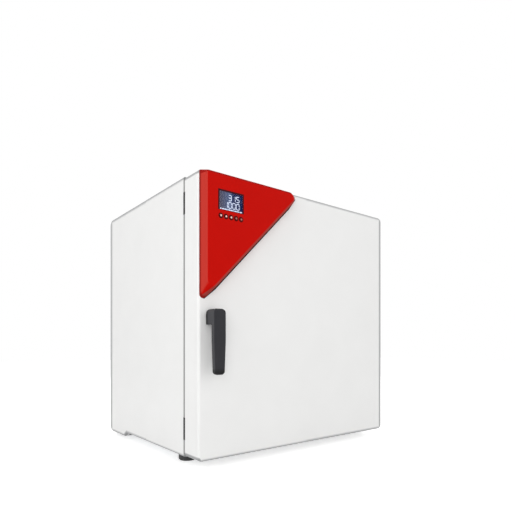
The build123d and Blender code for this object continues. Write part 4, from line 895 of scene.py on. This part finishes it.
def addGapStrip(mesh, look, low, high):
    left = casingLow.x + look["inset"]
    outline = rectangle((left, low, left + look["depth"], high))
    outline = roundedCorners(outline, look["round"], look["roundSteps"])
    extrudeOutline(mesh, outline, doorBack + look["clearance"], casingFront - look["clearance"], look["edge"])


def makeGapShadeStrip(look):
    plugs = bmesh.new()
    shadeStrip = bmesh.new()
    heights = [(low.z, high.z) for low, high in islandBoxes("hinge_blanking_plates")]
    stops = [z for pair in sorted(heights) for z in pair]
    stops = [doorLow.z + look["endGap"], *stops, doorHigh.z - look["endGap"]]
    for low, high in zip(stops[0::2], stops[1::2]):
        addGapStrip(shadeStrip, look, low, high)
    for low, high in heights:
        addGapStrip(plugs, look, low, high)
    for mesh, name, finish, slot in (
            (plugs, "gapPlugs", makePrint(plugFoam), "black_plastic"),
            (shadeStrip, "gapShadeStrip", finishes["grey_rubber"], "grey_rubber")):
        addPiece(name, mesh, finish, "oven")


# Pan-head screws with a cross recess, in place of the plain heads.
panHead = {"recessWide": 0.42, "recessSlot": 0.13, "recessDeep": 0.45, "recessTaper": 0.8, "recessFit": 0.98,
           "crown": 0.35, "rings": 6, "sides": 48, "shank": 0.0020, "shankSides": 24}


def crossOutline(reach, slot, count):
    # the cross of the recess, round its middle
    ways = circlePoints(0, 0, 1.0, count)
    return [way * min(reach, slot / max(min(abs(way.x), abs(way.y)), 1e-6)) for way in ways]


def addPanHead(mesh, x, z, seat, radius, height, look):
    # a head that looks back
    profile = [(1.0, 0.0), (1.0, 1.0 - look["crown"])]
    for ring in range(1, look["rings"] + 1):
        angle = math.pi / 2 * ring / look["rings"]
        share = look["recessWide"] + (1 - look["recessWide"]) * math.cos(angle)
        profile.append((share, 1.0 - look["crown"] * (1 - math.sin(angle))))
    rows = [addRow(mesh, circlePoints(x, z, radius * share, look["sides"]), seat + height * level)
            for share, level in profile]
    cross = crossOutline(
        radius * look["recessWide"] * look["recessFit"], radius * look["recessSlot"], look["sides"])
    for shrink, level in ((1.0, 1.0), (look["recessTaper"], 1.0 - look["recessDeep"])):
        points = [Vector((x, z)) + p * shrink for p in cross]
        rows.append(addRow(mesh, points, seat + height * level))
    joinRows(mesh, rows)
    mesh.faces.new(rows[-1])
    mesh.faces.new(list(reversed(rows[0])))


def makePanelScrews(look):
    mesh = bmesh.new()
    for low, high in islandBoxes("rear_panel_screws"):
        x, z = middleOf(low, high)
        addPanHead(mesh, x, z, panelBack, (high.x - low.x) / 2, high.y - panelBack, look)
        extrudeOutline(mesh, circlePoints(x, z, look["shank"], look["shankSides"]), low.y, panelBack)
    piece = addPiece("panelScrews", mesh, finishes["zinc_steel"], "oven")
    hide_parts("rear_panel_screws")


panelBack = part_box("rear_panel")[1].y
makeGapShadeStrip(gapShadeStrip)
makePanelScrews(panHead)
print("screws done")


# Printed scale round the limiter knob, the knob's own line and the rocker switch's marks.
# The label's width, pitch and stroke are shares of its height.
limiterScale = {"ticks": 11, "sweep": 270.0, "inner": 0.0185, "outer": 0.0215, "stroke": 0.0006,
                "labelRadius": 0.0255, "labelHeight": 0.0036, "labelEvery": 2, "labelStep": 50,
                "labelWidth": 0.5, "labelPitch": 0.72, "labelStroke": 0.15, "lift": 0.0001}
rockerMarks = {"lineHeight": 0.0050, "ring": 0.0024, "stroke": 0.0008, "lift": 0.0001, "sides": 24,
               "backLean": 0.8, "halfLean": 0.01}
knobLine = {"width": 0.0014, "length": 0.0100, "lift": 0.0002, "sink": 0.0001, "rimGap": 0.0030,
            "corner": 0.3, "cornerSteps": 4}


def makeLimiterScale(look):
    knob = Vector(middleOf(*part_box("limiter_knob")))
    front, back = panelBack, panelBack + look["lift"]
    height = look["labelHeight"]
    width = height * look["labelWidth"]
    mesh = bmesh.new()
    for i in range(look["ticks"]):
        turn = math.radians(-look["sweep"] / 2 + look["sweep"] * i / (look["ticks"] - 1))
        along = Vector((-math.sin(turn), math.cos(turn)))  # seen from behind, x runs the other way
        start = knob + along * look["inner"]
        end = knob + along * look["outer"]
        side = Vector((-along.y, along.x)) * look["stroke"] / 2
        extrudeOutline(mesh, [start - side, end - side, end + side, start + side], front, back)
        if i % look["labelEvery"] == 0:
            label = str(i // look["labelEvery"] * look["labelStep"])
            middle = knob + along * look["labelRadius"]
            for k, sign in enumerate(label):
                offset = (k - (len(label) - 1) / 2) * height * look["labelPitch"]
                addFigureBehind(mesh, sign, middle.x - offset - width / 2, middle.y - height / 2,
                                width, height, height * look["labelStroke"], front, back)
    addPiece("limiterScale", mesh, makePrint(greyInk), "oven")


def addFigureBehind(mesh, sign, left, bottom, width, height, stroke, front, back):
    # a figure that is read from behind the oven
    ready = set(mesh.verts)
    addFigure(mesh, sign, left, bottom, width, height, stroke, front, back)
    middle = left + width / 2
    for vert in mesh.verts:
        if vert not in ready:
            vert.co.x = 2 * middle - vert.co.x


makeLimiterScale(limiterScale)


def makeKnobLine(look):
    low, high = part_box("limiter_knob")
    x = (low.x + high.x) / 2
    half = look["width"] / 2
    top = high.z - look["rimGap"]
    outline = rectangle((x - half, top - look["length"], x + half, top))
    outline = roundedCorners(outline, look["width"] * look["corner"], look["cornerSteps"])
    mesh = bmesh.new()
    extrudeOutline(mesh, outline, high.y - look["sink"], high.y + look["lift"])
    addPiece("knobPointer", mesh, makePrint(whiteInk), "limiter_knob")


makeKnobLine(knobLine)


def makeRockerMarks(look):
    # a line on the lower half of the rocker's back and a ring on the upper half
    mesh = bmesh.new()
    data = nodes["switch_rocker"].data
    for side in (-1, 1):
        faces = [f for f in data.polygons
                 if f.normal.y > look["backLean"] and f.normal.z * side < -look["halfLean"]]
        area = sum(f.area for f in faces)
        centre = sum((f.center * f.area for f in faces), Vector()) / area
        out = sum((f.normal * f.area for f in faces), Vector()).normalized()
        up = Vector((1, 0, 0)).cross(out)
        ready = set(mesh.verts)
        if side > 0:
            outer, inner = [circlePoints(0, 0, radius, look["sides"])
                            for radius in (look["ring"], look["ring"] - look["stroke"])]
            bridgeRings(mesh, [(outer, 0), (outer, look["lift"]), (inner, look["lift"]), (inner, 0)])
        else:
            half = look["stroke"] / 2
            reach = look["lineHeight"] / 2
            extrudeOutline(mesh, rectangle((-half, -reach, half, reach)), 0, look["lift"])
        frameOfFace = Matrix((Vector((1, 0, 0)), out, up)).transposed()
        for vert in mesh.verts:
            if vert not in ready:
                vert.co = centre + frameOfFace @ vert.co
    addPiece("rockerMarks", mesh, makePrint(whiteInk), "switch_rocker")


makeRockerMarks(rockerMarks)
print("rear controls done")


# Camera at the photograph's place: level, with the rise that keeps uprights parallel.
viewpoint = {"place": (-0.8973, -1.2436, 0.3126), "turn": (90.0, 0.0, -38.4), "lens": 31.2,
             "sensor": 36.0, "shift": (-0.0135, 0.166)}
cameraData = bpy.data.cameras.new("camera")
cameraData.sensor_width = viewpoint["sensor"]
cameraData.lens = viewpoint["lens"]
cameraData.shift_x, cameraData.shift_y = viewpoint["shift"]
camera = bpy.data.objects.new("camera", cameraData)
camera.location = viewpoint["place"]
camera.rotation_euler = [math.radians(a) for a in viewpoint["turn"]]
bpy.context.scene.collection.objects.link(camera)
bpy.context.scene.camera = camera

# Large soft boxes all round and an even surround. Lamp levels are shares of full white.
studio = {
    "middle": (0.0, 0.0, 0.40),
    "surround": 0.62,
    "lamps": [
        {"name": "frontSoftBox", "from": (0.35, -1.0, 0.42), "distance": 2.6, "size": 1.9, "level": 0.115},
        {"name": "fillSoftBox", "from": (-0.62, -0.80, 0.15), "distance": 2.8, "size": 1.6, "level": 0.18},
        {"name": "leftSoftBox", "from": (-1.0, -0.12, 0.35), "distance": 2.6, "size": 1.9, "level": 0.175},
        {"name": "backSoftBox", "from": (0.25, 1.0, 0.45), "distance": 2.6, "size": 1.9, "level": 0.16},
        {"name": "topSoftBox", "from": (0.0, 0.15, 1.0), "distance": 2.4, "size": 1.6, "level": 0.10},
        {"name": "rightSoftBox", "from": (1.0, 0.05, 0.35), "distance": 2.6, "size": 1.9, "level": 0.14},
    ],
    "floor": "#E8E8E8",
    "floorGlow": 0.60,
    "floorSize": 14.0,
}


def makeLamp(lamp):
    data = bpy.data.lights.new(lamp["name"], "AREA")
    data.shape = "SQUARE"
    data.size = lamp["size"]
    data.energy = lamp["level"] * math.pi ** 2 * lamp["distance"] ** 2
    away = Vector(lamp["from"]).normalized()
    light = bpy.data.objects.new(lamp["name"], data)
    light.location = Vector(studio["middle"]) + away * lamp["distance"]
    light.rotation_euler = away.to_track_quat("Z", "Y").to_euler()
    light.visible_camera = False
    bpy.context.scene.collection.objects.link(light)


for lamp in studio["lamps"]:
    makeLamp(lamp)


def addSeenRays(tree):
    # 1 for the rays that show a surface as it is, 0 for the ones that only light it
    rays = addNode(tree, "ShaderNodeLightPath").outputs
    seen = addNode(tree, "ShaderNodeMath", {
        0: rays["Is Camera Ray"], 1: rays["Is Glossy Ray"]}, operation="MAXIMUM")
    return addNode(tree, "ShaderNodeMath", {0: seen, 1: rays["Is Transmission Ray"]}, operation="MAXIMUM")


world = bpy.data.worlds.new("studio")
bpy.context.scene.world = world
world.use_nodes = True
worldTree = world.node_tree
worldTree.nodes.clear()
strength = addNode(worldTree, "ShaderNodeMapRange", {
    0: addSeenRays(worldTree), 3: studio["surround"], 4: 1.0})
background = addNode(worldTree, "ShaderNodeBackground", {0: (1, 1, 1, 1), 1: strength})
addNode(worldTree, "ShaderNodeOutputWorld", {0: background})


def makeFloor():
    half = studio["floorSize"] / 2
    mesh = bmesh.new()
    bmesh.ops.create_grid(mesh, x_segments=4, y_segments=4, size=half)
    data = bpy.data.meshes.new("studioFloor")
    mesh.to_mesh(data)
    mesh.free()
    material, tree = newMaterial("paleStudioFloor")
    matt = addNode(tree, "ShaderNodeBsdfDiffuse", {0: studio["floor"]})
    level = addNode(tree, "ShaderNodeMath", {
        0: addSeenRays(tree), 1: studio["floorGlow"]}, operation="MULTIPLY")
    glow = addNode(tree, "ShaderNodeEmission", {0: (1, 1, 1, 1), 1: level})
    both = addNode(tree, "ShaderNodeAddShader", {0: matt, 1: glow})
    addNode(tree, "ShaderNodeOutputMaterial", {0: both})
    data.materials.append(material)
    floor = bpy.data.objects.new("studioFloor", data)
    bpy.context.scene.collection.objects.link(floor)


makeFloor()
bpy.context.scene.view_settings.view_transform = "Standard"
print("studio done")
